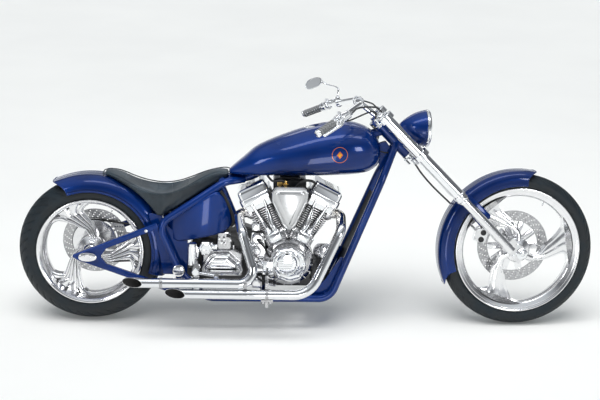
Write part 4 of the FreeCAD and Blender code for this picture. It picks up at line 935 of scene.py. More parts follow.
def fender(end):
    look = fenderLook[end]
    steps = 9
    section = [(look["edge"], -look["half"]), (look["edge"] + 12, -look["half"])]
    base = look["top"] - look["corner"]
    for step in range(steps + 1):
        angle = math.pi / 2 * step / steps
        section.append((base + look["corner"] * math.sin(angle),
                        -look["half"] + look["corner"] * (1 - math.cos(angle))))
    crown = 2.5  # the top is very slightly domed
    flat = look["half"] - look["corner"]
    for step in range(1, 6):
        y = -flat + 2 * flat * step / 6
        section.append((look["top"] + crown * (1 - (y / flat) ** 2) - crown, y))
    section += [(radius, -y) for radius, y in reversed(section[:steps + 3])]

    def lift(degrees):  # the tail kicks up slightly
        if "flare" not in look:
            return 0.0
        past = degrees - (look["start"] + look["span"] - look["flareSpan"])
        return look["flare"] * max(0, past / look["flareSpan"]) ** 2

    def degreesAt(share, y):  # the ends are rounded, seen from above
        out = min(1, abs(y) / look["half"]) ** 2.6
        first = look["start"] + look["frontRound"] * out * (1 - share) ** 3
        last = look["start"] + look["span"] - look["tailRound"] * out * share ** 3
        return first + (last - first) * share

    shape = bmesh.new()
    rings = []
    count = 72
    for number in range(count + 1):
        share = number / count
        outside = []
        inside = []
        for place, (radius, y) in enumerate(section):
            degrees = degreesAt(share, y)
            before = section[max(place - 1, 0)]
            after = section[min(place + 1, len(section) - 1)]
            way = Vector((after[0] - before[0], after[1] - before[1])).normalized()
            inward = Vector((-way.y, way.x)) * look["wall"]
            outside.append(wheelPoint(radius + lift(degrees), degrees, y))
            inside.append(wheelPoint(radius + inward.x + lift(degrees), degrees, y + inward.y))
        rings.append(outside + list(reversed(inside)))
    skin(shape, rings)
    for side in (-1, 1):  # rolled beads on the edges
        bead = []
        for number in range(count + 1):
            degrees = degreesAt(number / count, look["half"])
            bead.append(wheelPoint(look["edge"] + lift(degrees), degrees, side * (look["half"] - 1.5)))
        tubeAlong(shape, bead, 3.2, 10)
    for share in (0.003, 0.997):
        row = []
        for radius, y in section:
            degrees = degreesAt(share, y)
            row.append(wheelPoint(radius - 1.5 + lift(degrees), degrees, y * (1 - 1.5 / look["half"])))
        tubeAlong(shape, row, 3.2, 10)
    if end == "rear":
        piece("rearFenderSheet", shape, wheelPlace("rear"), [bluePaint], "frame",
              ("rear_fender",), 45)
        return
    shape.transform(Matrix.Translation((frontX, 0, frontZ)))
    for side in (-1, 1):  # ears reach in to bosses on the fork legs
        low = side * (look["half"] - 1.5)
        outline = rounded([(-36, -80), (36, -84), (30, 66), (8, 78), (-26, 60)], 14, 5)
        ear = Matrix.Translation(fork(machine["forkAhead"] + 8, low, 292))
        ear = ear @ Matrix.Rotation(math.radians(-45), 4, "Y") @ sideOn(0, side)
        slab(shape, outline, [(1, -1.6), (0, -1), (0, 1), (1, 1.8)], ear)
        for up in (255, 325):
            spot = fork(machine["forkAhead"], 0, up)
            rod(shape, (spot.x, side * (look["half"] - 6), spot.z), (spot.x, side * 86, spot.z), 10, 20,
                bevel=1.5, endRadius=8)
            screw("steering", turnPlace, (spot.x, side * (look["half"] - 6), spot.z), (0, -side, 0), 5)
    piece("frontFenderSheet", shape, turnPlace, [bluePaint], "steering",
          ("front_fender",), 45)


fender("front")
fender("rear")
print("fenders made")

# ---- fuel tank

# columns: x, bottom, top, half width, height of the widest line as a share
tankLook = {
    "stations": [(622, 682, 706, 30, 0.5), (680, 679, 757, 72, 0.46), (760, 681, 820, 108, 0.42),
                 (930, 684, 889, 146, 0.42), (1060, 688, 922, 153, 0.44), (1150, 692, 928, 150, 0.46),
                 (1225, 702, 909, 130, 0.48), (1268, 722, 877, 100, 0.49), (1290, 748, 846, 68, 0.5),
                 (1297, 774, 822, 34, 0.5)],
    "tunnel": [(560, 600), (560, 686), (712, 698), (812, 756), (1340, 934), (1340, 600)], "tunnelHalf": 25,
    "capX": 985, "capZ": 879, "capRadius": 33.5,
}


def sectionRing(x, bottom, top, half, share, count=56):
    # soft section: nearly flat below, full at the shoulder and crowned on top
    rise = top - bottom
    ring = []
    for number in range(count):
        angle = 2 * math.pi * number / count
        c, s = math.cos(angle), math.sin(angle)
        y = half * math.copysign(abs(c) ** 0.86, c)
        z = (rise * (1 - share)) * abs(s) ** 0.92 if s > 0 else -(rise * share) * abs(s) ** 0.72
        ring.append(Vector((x, y, bottom + rise * share + z)))
    return ring


def carved(mesh, tools, name="carved"):
    # cuts closed tool meshes out of a mesh
    made = linked(name, mesh)
    cutters = []
    for number, tool in enumerate(tools):
        cutter = linked(f"{name}{number}", tool)
        modifier = made.modifiers.new(f"cut{number}", "BOOLEAN")
        modifier.operation = "DIFFERENCE"
        modifier.object = cutter
        modifier.solver = "EXACT"
        cutters.append(cutter)
    result = settled(made)
    for gone in [made] + cutters:
        bpy.data.objects.remove(gone)
    return result


def fuelTank():
    shape = bmesh.new()
    rows = through(tankLook["stations"], 5)
    rings = [sectionRing(*row) for row in rows]
    nose = rings[-1]
    middle = sum(nose, Vector()) / len(nose)
    for share, ahead in ((0.6, 1.6), (0.2, 2.2)):
        rings.append([middle + (spot - middle) * share + Vector((ahead, 0, 0)) for spot in nose])
    skin(shape, rings)
    body = meshOf("tankBody", shape, [tankPaint])
    tool = bmesh.new()
    outline = rounded(tankLook["tunnel"], 6, 3)
    half = tankLook["tunnelHalf"]
    skin(tool, [[Vector((x, y, z)) for x, z in outline] for y in (-half, half)])
    seat = bmesh.new()
    rod(seat, (tankLook["capX"], 0, tankLook["capZ"]), (tankLook["capX"], 0, 980),
        tankLook["capRadius"] + 1, 48, bevel=0.1)
    mesh = carved(body, [meshOf("tunnel", tool, []), meshOf("capWell", seat, [])], "tank")
    mesh.materials.clear()
    mesh.materials.append(tankPaint)
    mesh.transform(standPlace)
    smoothed(mesh, 30)
    given(linked("tankShell", mesh), "frame", ("fuel_tank",))
    shape = bmesh.new()
    radius = tankLook["capRadius"]
    base = Matrix.Translation((tankLook["capX"], 0, tankLook["capZ"]))
    spin(shape, [(0, -4), (radius, -4), (radius, 12), (radius + 2.5, 13), (radius + 3, 15),
                 (radius + 1, 18), (radius - 3, 19), (radius - 5, 21), (radius - 10, 24),
                 (radius - 20, 25.5), (0, 26)], base, 64)
    for number in range(24):  # finger grips round the cap
        angle = 2 * math.pi * number / 24
        spot = Vector((tankLook["capX"] + (radius - 2.6) * math.cos(angle),
                       (radius - 2.6) * math.sin(angle), tankLook["capZ"] + 19))
        rod(shape, spot, spot + Vector((0, 0, 3)), 1.7, 6, bevel=0.5)
    piece("fillerCap", shape, standPlace, [chrome], "frame", ("tank_cap",), 30)
    shape = bmesh.new()
    plate = Matrix.Translation((1262, 0, 906)) @ Matrix.Rotation(math.radians(32), 4, "Y")
    softBox(shape, 20, 60, 6, plate, 5, 2)
    piece("tankMount", shape, standPlace, [blackCoat], "frame")
    for side in (-1, 1):
        screw("frame", standPlace, (1262, side * 20, 909), (0.5, 0, 0.85), 4.6)


fuelTank()
print("tank made")

# ---- seat

seatLook = {
    # columns: x, half width, height of the cushion's edge, crown of the middle
    "top": [(58, 44, 682, 3), (78, 60, 684, 5), (102, 75, 680, 5), (126, 87, 673, 3), (155, 97, 660, 2),
            (190, 108, 643, -1), (240, 121, 624, -7), (300, 129, 612, -12), (350, 127, 613, -12),
            (400, 117, 625, -8), (450, 101, 646, -2), (500, 84, 670, 3), (550, 67, 689, 5),
            (596, 53, 700, 4), (622, 42, 699, 2)],
    "pressure": 4.0, "cap": 5.0, "voxel": 5.5, "frames": 20,
}


def seatUnder(x):  # underside: on the fender at the back, then up along the rails
    radius = 349.6
    heelX = 298.0
    if x < heelX:
        return rearZ + math.sqrt(radius ** 2 - x ** 2)
    rails = [(heelX, 509), (330, 508), (400, 549), (480, 600), (540, 638), (604, 671), (640, 684)]
    return between(rails, x)[0]


def seatRings(shrink=0.0):
    rings = []
    for x, half, edge, crown in through(seatLook["top"], 3):
        half = half - shrink
        low = seatUnder(x) + 1.0 + shrink * 0.5
        edge = max(edge - shrink, low + 7)
        ring = []
        count = 14
        for step in range(count + 1):  # over the top from the right to the left
            s = -1 + 2 * step / count
            ring.append(Vector((x, half * s, edge + (crown - shrink * 0.4) * (1 - s * s))))
        wall = 4
        for step in range(1, wall + 1):
            t = step / wall
            pinch = 5 * math.sin(math.pi * t)
            ring.append(Vector((x, half - pinch - 5 * t, edge + (low - edge) * t)))
        for step in range(1, 9):
            s = 1 - 2 * step / 8
            ring.append(Vector((x, (half - 5) * s, low)))
        for step in range(wall - 1, 0, -1):
            t = step / wall
            pinch = 5 * math.sin(math.pi * t)
            ring.append(Vector((x, -half + pinch + 5 * t, edge + (low - edge) * t)))
        rings.append(ring)
    return rings


def swollen(mesh, look):
    # a cloth run under a little pressure, with the movement capped
    made = linked("seatDough", mesh)
    remesh = made.modifiers.new("remesh", "REMESH")
    remesh.mode = "VOXEL"
    remesh.voxel_size = look["voxel"] * mm
    base = settled(made)
    bpy.data.objects.remove(made)
    rest = [vertex.co.copy() for vertex in base.vertices]
    made = linked("seatCloth", base)
    cloth = made.modifiers.new("cloth", "CLOTH")
    cloth.settings.use_pressure = True
    cloth.settings.uniform_pressure_force = look["pressure"]
    cloth.settings.effector_weights.gravity = 0
    cloth.settings.quality = 5
    cloth.settings.tension_stiffness = 18
    cloth.settings.compression_stiffness = 18
    cloth.point_cache.frame_start = 1
    cloth.point_cache.frame_end = look["frames"]
    for number in range(1, look["frames"] + 1):
        bpy.context.scene.frame_set(number)
    moved = settled(made)
    places = [vertex.co.copy() for vertex in moved.vertices]
    made.modifiers.remove(cloth)
    bpy.context.scene.frame_set(1)
    limit = look["cap"] * mm
    for vertex, start, end in zip(base.vertices, rest, places):
        shift = end - start
        if shift.length > limit:
            shift = shift.normalized() * limit
        vertex.co = start + shift
    smooth = made.modifiers.new("smooth", "CORRECTIVE_SMOOTH")
    smooth.factor = 0.5
    smooth.iterations = 4
    smooth.use_only_smooth = True
    finer = made.modifiers.new("finer", "SUBSURF")
    finer.levels = 1
    finer.render_levels = 1
    result = settled(made)
    bpy.data.objects.remove(made)
    return result


def seat():
    shape = bmesh.new()
    skin(shape, seatRings(3.0))
    mesh = meshOf("seatForm", shape, [seatLeather])
    mesh.transform(standPlace)
    cushion = swollen(mesh, seatLook)
    # channels pressed in, two along the seat and five across it
    back = standPlace.inverted()
    lines = through(seatLook["top"], 2)
    channel = 0.72  # where the long channels lie, as a share of the half width
    for vertex in cushion.vertices:
        spot = back @ vertex.co
        half, edge, crown = between(lines, max(min(spot.x, 621), 59))
        if spot.z < edge - 14:
            continue
        away = abs(abs(spot.y) - half * channel)
        if away < 7 and 90 < spot.x < 610:
            spot.z -= 3.2 * (1 - away / 7) ** 2
        for x in (150, 215, 285, 355, 425):
            away = abs(spot.x - x - 12 * (1 - (spot.y / half) ** 2))
            if away < 7 and abs(spot.y) < half * channel:
                spot.z -= 2.2 * (1 - away / 7) ** 2
        vertex.co = standPlace @ spot
    cushion.materials.clear()
    cushion.materials.append(seatLeather)
    cushion.shade_smooth()
    made = given(linked("seatCushion", cushion), "frame", ("seat",))
    shape = bmesh.new()
    rows = through(seatLook["top"], 4)
    for side in (-1, 1):  # piping round the upper edge
        tubeAlong(shape, [(x, side * (half - 0.5), edge - 1.5) for x, half, edge, crown in rows], 2.6, 8)
    across = [step / 8 - 1 for step in range(17)]
    for x, half, edge, crown in (rows[0], rows[-1]):
        tubeAlong(shape, [(x, half * s, edge - 1.5 + crown * (1 - s * s)) for s in across], 2.6, 8)
    piece("seatPiping", shape, standPlace, [seatLeather], "frame", crease=60)


seat()
print("seat made")

# ---- engine

crankX, _, crankZ = machine["crank"]


def vee(sign):  # local Z up one cylinder from the crankshaft
    lean = math.radians(sign * machine["veeDegrees"])
    return Matrix.Translation(machine["crank"]) @ Matrix.Rotation(lean, 4, "Y")


finLook = {"count": 12, "pitch": 10.4, "base": 164.0, "narrow": 0.88, "wide": 1.04, "long": 128,
           "deep": 134,
           "corner": 30, "thick": 3.7}


def cylinders():
    shape = bmesh.new()
    outline = oblong(finLook["long"], finLook["deep"], finLook["corner"], 6)
    thick = finLook["thick"]
    slab(shape, outline, [(34, 0), (0.5, 0), (0, thick * 0.25), (0, thick * 0.75), (0.5, thick),
                          (34, thick)], Matrix.Identity(4))
    plate = meshOf("finPlate", shape, [])
    bright = plate.attributes.new("bright", "BOOLEAN", "FACE")
    for face in plate.polygons:
        bright.data[face.index].value = abs(face.normal.z) < 0.92
    values = {"count": finLook["count"], "pitch": finLook["pitch"], "narrow": finLook["narrow"],
              "wide": finLook["wide"]}
    desk, inputs = newTree("fins", values)
    rise = desk.node("ShaderNodeCombineXYZ", {}, {2: inputs["pitch"]})
    line = desk.node("GeometryNodeMeshLine", {}, {"Count": inputs["count"], "Offset": rise})
    share = desk.node("GeometryNodeInputIndex") / (inputs["count"] - 1.0)
    grow = share.maths("MINIMUM", share * 1.6, 1.0)
    wide = inputs["narrow"] + (inputs["wide"] - inputs["narrow"]) * grow
    scale = desk.node("ShaderNodeCombineXYZ", {}, {0: wide, 1: wide, 2: 1.0})
    stack = desk.node("GeometryNodeInstanceOnPoints", {}, {"Points": line, "Instance": inputs["Geometry"],
                                                           "Scale": scale})
    fins = grown("finStack", plate, desk, stack, [(blackCoat, None), (polished, "bright")], values)
    shape = bmesh.new()
    for sign in (-1, 1):
        stack = bmesh.new()
        stack.from_mesh(fins)
        stack.transform(vee(sign) @ Matrix.Translation((0, 0, finLook["base"])))
        copy = bpy.data.meshes.new("stack")
        stack.to_mesh(copy)
        stack.free()
        shape.from_mesh(copy)
        place = vee(sign) @ Matrix.Translation((0, 0, 238))
        slab(shape, oblong(92, 100, 34, 6), softEdge(158, 2, 2, base=-80), place, 0)
        for side in (-1, 1):
            for out in (-1, 1):  # head studs between the fins
                spot = vee(sign) @ Vector((side * 44, out * 50, 160))
                rod(shape, spot, vee(sign) @ Vector((side * 44, out * 50, 300)), 6.5, 12, tint=0)
                screw("frame", standPlace, vee(sign) @ Vector((side * 44, out * 50, 300)),
                      vee(sign).to_3x3() @ Vector((0, 0, 1)), 6)
        # port flange where the pipe leaves
        port = vee(sign) @ Vector((sign * 56, -40, 280))
        way = vee(sign).to_3x3() @ Vector((sign, -0.1, 0))
        rod(shape, port - way * 6, port + way * 12, 31, 32, tint=1, bevel=2)
    piece("finnedCylinders", shape, standPlace, [blackCoat, polished], "frame",
          ("cylinders",), 30)


rockerLook = {"wide": 152, "deep": 174, "corner": 24, "head": 284, "low": 316, "step": 350, "top": 392,
              "shift": -16}


def rockerBoxes():
    shape = bmesh.new()
    low, mid, top = rockerLook["low"], rockerLook["step"], rockerLook["top"]
    for sign in (-1, 1):
        place = vee(sign) @ Matrix.Translation((0, rockerLook["shift"], 0))
        outline = oblong(rockerLook["wide"], rockerLook["deep"], rockerLook["corner"], 7)
        slab(shape, outline, [(16, rockerLook["head"]), (9, rockerLook["head"] + 1),
                              (7, rockerLook["head"] + 4), (5, low - 5),
                              (5, low), (2, low + 0.6), (0.4, low + 2.4), (0, low + 5), (0, mid - 7),
                              (0.6, mid - 5.4),
                              (2, mid - 5), (2, mid - 3.4), (0.4, mid - 3), (0, mid - 1.5), (1.2, mid),
                              (6, mid + 0.4),
                              (6.5, mid + 2), (7, top - 18), (9, top - 10), (13, top - 4.5), (20, top - 1),
                              (30, top)],
             place)
        # ridge across the lid
        slab(shape, oblong(58, 118, 20, 6), [(0, top - 3), (2, top - 0.5), (6, top), (14, top)], place)
        for side in (-1, 1):
            for out in (-1, 1):
                spot = place @ Vector((side * 57, out * 69, top - 9))
                screw("frame", standPlace, spot, place.to_3x3() @ Vector((0, 0, 1)), 6)
            screw("frame", standPlace, place @ Vector((side * 52, -87.5, low + 12)), (0, -1, 0), 4.2)
    piece("rockerCovers", shape, standPlace, [chrome], "frame", ("rocker_boxes",), 30)


def crankcase():
    shape = bmesh.new()
    half = 85
    spin(shape, [(0, -half), (84, -half), (88, -half + 2), (90, -half + 8), (104, -half + 14),
                 (109, -half + 20),
                 (112, -half + 30), (112, -6), (114, -4), (114, 4), (112, 6), (112, half - 30),
                 (109, half - 18), (96, half - 8), (90, half), (0, half)], acrossAt(crankX, 0, crankZ), 72)
    rod(shape, (crankX, half - 2, crankZ), (crankX, 124, crankZ), 57, 48, bevel=2)
    for sign in (-1, 1):
        place = vee(sign)
        slab(shape, oblong(116, 124, 22, 6), [(0, 40), (0, 130), (3, 136), (6, 140), (6, 156), (7, 158),
                                              (20, 158.5)], place)
        for side in (-1, 1):
            for out in (-1, 1):
                screw("frame", standPlace, place @ Vector((side * 49, out * 53, 137)),
                      place.to_3x3() @ Vector((0, 0, 1)), 6.5)
    for number in range(14):  # stiffening ribs round the case's edge
        angle = math.radians(150 + 240 * number / 13)
        spot = Vector((crankX + 101 * math.cos(angle), -74, crankZ + 101 * math.sin(angle)))
        way = Vector((math.cos(angle), 0, math.sin(angle)))
        place = aimed(spot, way)
        softBox(shape, 5, 5, 20, place, 2, 1)
    piece("crankcaseHalves", shape, standPlace, [brightCast], "frame", ("crankcase",), 30)
    shape = bmesh.new()
    for sign in (-1, 1):  # lifter blocks in front of each deck
        place = vee(sign) @ Matrix.Translation((0, -half - 14, 0))
        outline = oblong(62, 36, 10, 5)
        slab(shape, outline, [(6, 118), (1, 124), (0, 128), (0, 150), (2, 154), (2, 160), (5, 164),
                              (8, 172), (14, 172)], place)
        for side in (-1, 1):
            screw("frame", standPlace, place @ Vector((side * 25, -12, 163)),
                  place.to_3x3() @ Vector((0, 0, 1)), 4)
            rod(shape, place @ Vector((side * 14, 0, 165)), place @ Vector((side * 15, 0, 182)), 13, 24,
                bevel=1.5)
    piece("lifterBlocks", shape, standPlace, [chrome], "frame")


def camCover():
    shape = bmesh.new()
    place = sideOn(0, -1)
    outline = [(crankX - 78, crankZ + 8, 40), (crankX - 52, crankZ + 62, 26),
               (crankX + 10, crankZ + 76, 30),
               (crankX + 66, crankZ + 44, 26), (crankX + 82, crankZ - 14, 30),
               (crankX + 58, crankZ - 70, 24),
               (crankX + 6, crankZ - 86, 40), (crankX - 52, crankZ - 64, 30)]
    plate = rounded(outline, 20, 6)
    slab(shape, plate, [(0, 84), (0, 106), (0.8, 110), (3, 112.5), (7, 113), (8, 111), (12, 111), (14, 113),
                        (24, 114.5), (40, 115)], place)
    centre = acrossAt(crankX - 8, 0, crankZ + 4) @ Matrix.Rotation(math.pi, 4, "X")
    spin(shape, [(60, 112), (58, 119), (55, 121.5), (52, 122), (50, 120.5), (48, 120.5), (46, 123),
                 (42, 127.5), (34, 129), (0, 129.4)], centre, 64)
    spin(shape, [(0, 112), (60, 112), (60, 110), (0, 110)], centre, 64)
    for number in range(5):  # raised bars on the round cover
        z = crankZ + 4 + 11 * (number - 2)
        reach = math.sqrt(40 ** 2 - (11 * (number - 2)) ** 2)
        slab(shape, rounded([(crankX - 8 - reach, z - 2.2), (crankX - 8 + reach, z - 2.2),
                             (crankX - 8 + reach, z + 2.2),
                             (crankX - 8 - reach, z + 2.2)], 2, 3),
             [(0, 126), (0, 129.5), (0.8, 130.4), (1.6, 130.4)], place)
    for number, (x, z) in enumerate(inset(rounded(outline, 20, 1), 8)):
        if number % 2 == 0:
            screw("frame", standPlace, (x, -112, z), rightward, 4.4)
    for degrees in (40, 160, 280):
        angle = math.radians(degrees)
        screw("frame", standPlace, (crankX - 8 + 51 * math.cos(angle), -121,
                                    crankZ + 4 + 51 * math.sin(angle)), rightward, 3.4)
    # oil pump behind the cover and its two fittings
    softBox(shape, 54, 34, 62, Matrix.Translation((crankX - 92, -92, crankZ - 22)), 8, 4)
    rod(shape, (crankX - 118, -96, crankZ - 8), (crankX - 140, -98, crankZ + 2), 8, 16)
    rod(shape, (crankX - 118, -96, crankZ - 34), (crankX - 142, -98, crankZ - 34), 8, 16)
    piece("camCoverCast", shape, standPlace, [chrome], "frame", ("cam_cover",), 30)


def pushRods():
    shape = bmesh.new()
    for sign in (-1, 1):
        for spread in (-1, 1):
            foot = vee(sign) @ Vector((spread * 15, -97, 172))
            head = vee(sign) @ Vector((spread * 30, -91, 320))
            long = (head - foot).length
            spin(shape, [(0, 0), (12.5, 0), (13, 2), (13, 9), (11.5, 11), (11.5, 16), (9.2, 18), (8.4, 20),
                         (8.4, 66), (10.5, 67.5), (10.5, 71), (7.6, 73), (7.6, long - 14), (9.6, long - 12),
                         (10.6, long - 8), (10.6, long - 1), (0, long)], aimed(foot, head - foot), 28)
    piece("pushRodSleeves", shape, standPlace, [chrome], "frame", ("push_rod_tubes",), 30)


airLook = {
    "outline": [(812, 640, 24), (828, 662, 22), (952, 662, 24), (972, 640, 24), (968, 600, 40),
                (918, 490, 34), (890, 466, 26), (862, 490, 34), (812, 600, 40)],
}


def airCleaner():
    shape = bmesh.new()
    place = sideOn(0, -1)
    outline = rounded(airLook["outline"], 24, 7)
    slab(shape, outline, [(9, 160), (9, 170), (3, 172), (0.6, 174), (0, 178), (0, 192), (0.8, 195.4),
                          (2.6, 197.6), (5, 198.4),
                          (7.6, 197.6), (9.6, 195.8), (11.6, 195.4), (13, 196.2), (15, 198.4), (18, 200.6),
                          (22, 202), (27, 202.8)],
         place)
    screw("frame", standPlace, (891, -202.6, 588), rightward, 8)
    for x, z in ((842, 640), (940, 640), (890, 498)):
        screw("frame", standPlace, (x, -198, z), rightward, 4)
    piece("airCleanerShell", shape, standPlace, [satin], "frame", ("air_cleaner",), 28)
    shape = bmesh.new()
    slab(shape, inset(outline, 14), [(0, 128), (0, 163)], place)
    softBox(shape, 62, 70, 70, Matrix.Translation((890, -92, 590)), 12, 6)
    rod(shape, (890, -112, 590), (890, -132, 590), 34, 32, bevel=2)
    rod(shape, (890, -92, 556), (890, -92, 528), 26, 28, bevel=4)
    softBox(shape, 46, 104, 38, Matrix.Translation((890, -20, 560)), 14, 6)
    rod(shape, (846, -30, 566), (934, -30, 566), 19, 24, bevel=3)
    softBox(shape, 148, 116, 64, Matrix.Translation((893, 4, 636)), 14, 8)
    softBox(shape, 96, 64, 22, Matrix.Translation((893, -8, 668)), 10, 5)
    for x in (838, 948):
        rod(shape, (x, -40, 650), (x, -78, 656), 11, 20, bevel=2)
    piece("carburettorBody", shape, standPlace, [blackCoat], "frame", ("carburettor",), 30)
    shape = bmesh.new()
    rod(shape, (872, -128, 652), (872, -128, 680), 8, 16, bevel=1.5)
    spin(shape, [(0, 0), (13, 0), (14, 1.5), (14, 8), (12, 10), (0, 10)],
         aimed((872, -128, 662), (0, -0.4, 1)), 20)
    softBox(shape, 22, 16, 18, Matrix.Translation((846, -120, 664)), 3, 2)
    rod(shape, (846, -120, 655), (846, -120, 640), 5, 12)
    piece("fuelFittings", shape, standPlace, [brass], "frame")


def engineLines():
    lines = [
        ("plugLeadRear", [(812, -50, 575), (800, -96, 590), (812, -120, 628), (838, -104, 660),
                          (868, -60, 672)], 4.0),
        ("plugLeadFront", [(972, -50, 575), (990, -96, 592), (976, -122, 634), (944, -104, 664),
                           (900, -60, 674)], 4.0),
        ("fuelHose", [(872, -128, 672), (856, -138, 684), (826, -130, 676), (806, -96, 672),
                      (790, -40, 686)], 5.0),
        ("breatherHose", [(920, -120, 650), (938, -134, 678), (972, -128, 684), (1004, -96, 668),
                          (1010, -40, 640)], 6.0),
        ("oilLineHigh", [(752, -98, 294), (728, -112, 300), (706, -108, 330), (694, -96, 372),
                         (660, -92, 404), (612, -88, 412)], 5.0),
        ("cradleHoseHigh", [(752, -82, 396), (758, -104, 392), (786, -112, 366), (800, -104, 330),
                            (808, -88, 318)], 5.0),
        ("cradleHoseLow", [(736, -82, 250), (740, -106, 242), (768, -116, 214), (806, -108, 200),
                           (826, -80, 204)], 5.0),
        ("oilLineLow", [(752, -98, 258), (726, -112, 252), (704, -114, 222), (660, -112, 214),
                        (600, -104, 208)], 5.0),
        ("headOilRear", [(842, -108, 440), (820, -124, 452), (800, -122, 492), (790, -104, 540),
                         (786, -92, 566)], 3.6),
        ("headOilFront", [(944, -108, 440), (966, -124, 452), (986, -122, 492), (996, -104, 540),
                          (1000, -92, 566)], 3.6),
    ]
    for name, spots, radius in lines:
        look = chrome if name.startswith("head") else braid if name.startswith("oil") else blackRubber
        nurbsTube(name, spots, radius, standPlace, look, "frame")


cylinders()
rockerBoxes()
crankcase()
camCover()
pushRods()
airCleaner()
engineLines()
print("engine made")

# ---- gearbox, primary, belt

gearLook = {
    "cover": [(553, 336, 8), (626, 336, 14), (672, 296, 20), (690, 256, 12), (668, 234, 10), (518, 234, 10),
              (502, 248, 10), (506, 280, 20), (528, 314, 14)],
}


def gearbox():
    shape = bmesh.new()
    place = sideOn(0, -1)
    case = rounded([(505, 225), (683, 225), (683, 330), (652, 347), (505, 347)], 12, 5)
    slab(shape, case, [(5, -88), (0, -82), (0, 82), (5, 88)], place)
    for number in range(5):  # steps and ribs on top
        softBox(shape, 8, 148, 30, Matrix.Translation((540 + 26 * number, 0, 352)), 3, 2)
    top = rounded([(571, 345), (633, 345), (633, 412), (622, 425), (571, 425)], 8, 4)
    slab(shape, top, [(4, -75), (0, -71), (0, 71), (4, 75)], place)
    rod(shape, (600, 80, 305), (600, 124, 305), 42.5, 40, bevel=2)
    for z in (372, 392):
        rod(shape, (602, -70, z), (602, -92, z), 8, 6, bevel=1)
    piece("gearboxCase", shape, standPlace, [brightCast], "frame", ("gearbox",), 30)
    shape = bmesh.new()
    cover = rounded(gearLook["cover"], 10, 5)
    slab(shape, cover, [(0, 86), (0, 104), (1, 107), (3.4, 108), (6, 107.4), (7, 105.6), (10, 105.6),
                        (12, 108), (15, 113), (19, 116), (26, 117.6), (34, 118)], place)
    for number in range(4):
        z = 256 + 15 * number
        slab(shape, rounded([(540 + number * 3, z - 2.6), (650 - number * 12, z - 2.6),
                             (650 - number * 12, z + 2.6), (540 + number * 3, z + 2.6)], 2.5, 3),
             [(0, 110), (0, 120), (1, 121), (1.8, 121)], place)
    for x, z in ((560, 330), (622, 329), (664, 292), (680, 256), (664, 240), (524, 240), (510, 256),
                 (532, 306), (592, 240)):
        screw("frame", standPlace, (x, -107, z), rightward, 4.4)
    piece("gearboxSideCover", shape, standPlace, [polished], "frame", ("gearbox_cover",), 30)
    shape = bmesh.new()
    # oil filler with its screw plug, and the bracket beside it
    spin(shape, [(0, 60), (27, 60), (30, 63), (30, 104), (33, 106), (34, 110), (33, 116), (29, 119),
                 (22, 119), (20, 116), (13, 116),
                 (12, 118), (0, 118)], acrossAt(520, 0, 360) @ Matrix.Rotation(math.pi, 4, "X"), 6)
    spin(shape, [(0, 110), (21, 110), (21, 121), (19, 123), (9, 123), (8, 120), (0, 120)],
         acrossAt(520, 0, 360) @ Matrix.Rotation(math.pi, 4, "X"), 32)
    bracket = rounded([(456, 306, 14), (486, 306, 12), (492, 344, 16), (478, 378, 14), (456, 374, 14),
                       (448, 340, 18)], 10, 5)
    slab(shape, bracket, [(3, 80), (0, 83), (0, 100), (3, 103), (8, 104)], place)
    for x, z in ((532, 356), (560, 366)):
        softBox(shape, 24, 22, 22, Matrix.Translation((x, -100, z)), 4, 3)
    softBox(shape, 44, 44, 60, Matrix.Translation((532, -66, 350)), 8, 4)
    for x, z in ((468, 320), (466, 360)):
        screw("frame", standPlace, (x, -103, z), rightward, 6)
    screwRing("frame", standPlace, (590, -92, 392), rightward, 12, 3, 4, 30)
    # starter motor in front of the gearbox
    spin(shape, [(0, -62), (24, -62), (29, -57), (30, -50), (30, 40), (26, 44), (0, 44)],
         acrossAt(716, -14, 344), 36)
    piece("gearboxFittings", shape, standPlace, [chrome], "frame", crease=30)


def stadium(first, firstRadius, second, secondRadius, steps=20):
    gap = Vector(second) - Vector(first)
    tilt = math.atan2(gap.y, gap.x)
    wrap = math.acos((firstRadius - secondRadius) / gap.length)
    points = []
    for step in range(steps + 1):
        angle = tilt + wrap + (2 * math.pi - 2 * wrap) * step / steps
        points.append((first[0] + firstRadius * math.cos(angle), first[1] + firstRadius * math.sin(angle)))
    for step in range(steps + 1):
        angle = tilt - wrap + 2 * wrap * step / steps
        points.append((second[0] + secondRadius * math.cos(angle),
                       second[1] + secondRadius * math.sin(angle)))
    return points


def primary():
    shape = bmesh.new()
    outline = stadium((600, 305), 79.5, (crankX, crankZ), 91.5)
    place = sideOn(0, 1)
    slab(shape, outline, [(0, 126.5), (0, 146), (1, 149), (3.6, 150), (7, 149.6), (8.4, 147.6), (12, 147.6),
                          (14, 150), (18, 157), (24, 163), (33, 166.6), (45, 168)], place)
    for number, (x, z) in enumerate(inset(outline, 4.5)):
        if number % 5 == 0:
            screw("frame", standPlace, (x, 149.4, z), leftward, 4)
    for x, z, radius in ((600, 305, 40), (crankX, crankZ, 30)):
        spin(shape, [(0, 160), (radius + 6, 160), (radius + 5, 165), (radius, 168), (radius - 4, 167),
                     (radius - 6, 165), (0, 165)],
             acrossAt(x, 0, z), 48)
        screwRing("frame", standPlace, (x, 167.5, z), leftward, radius + 1, 5, 3, 20)
    piece("primaryShell", shape, standPlace, [chrome], "frame", ("primary_cover",), 28)


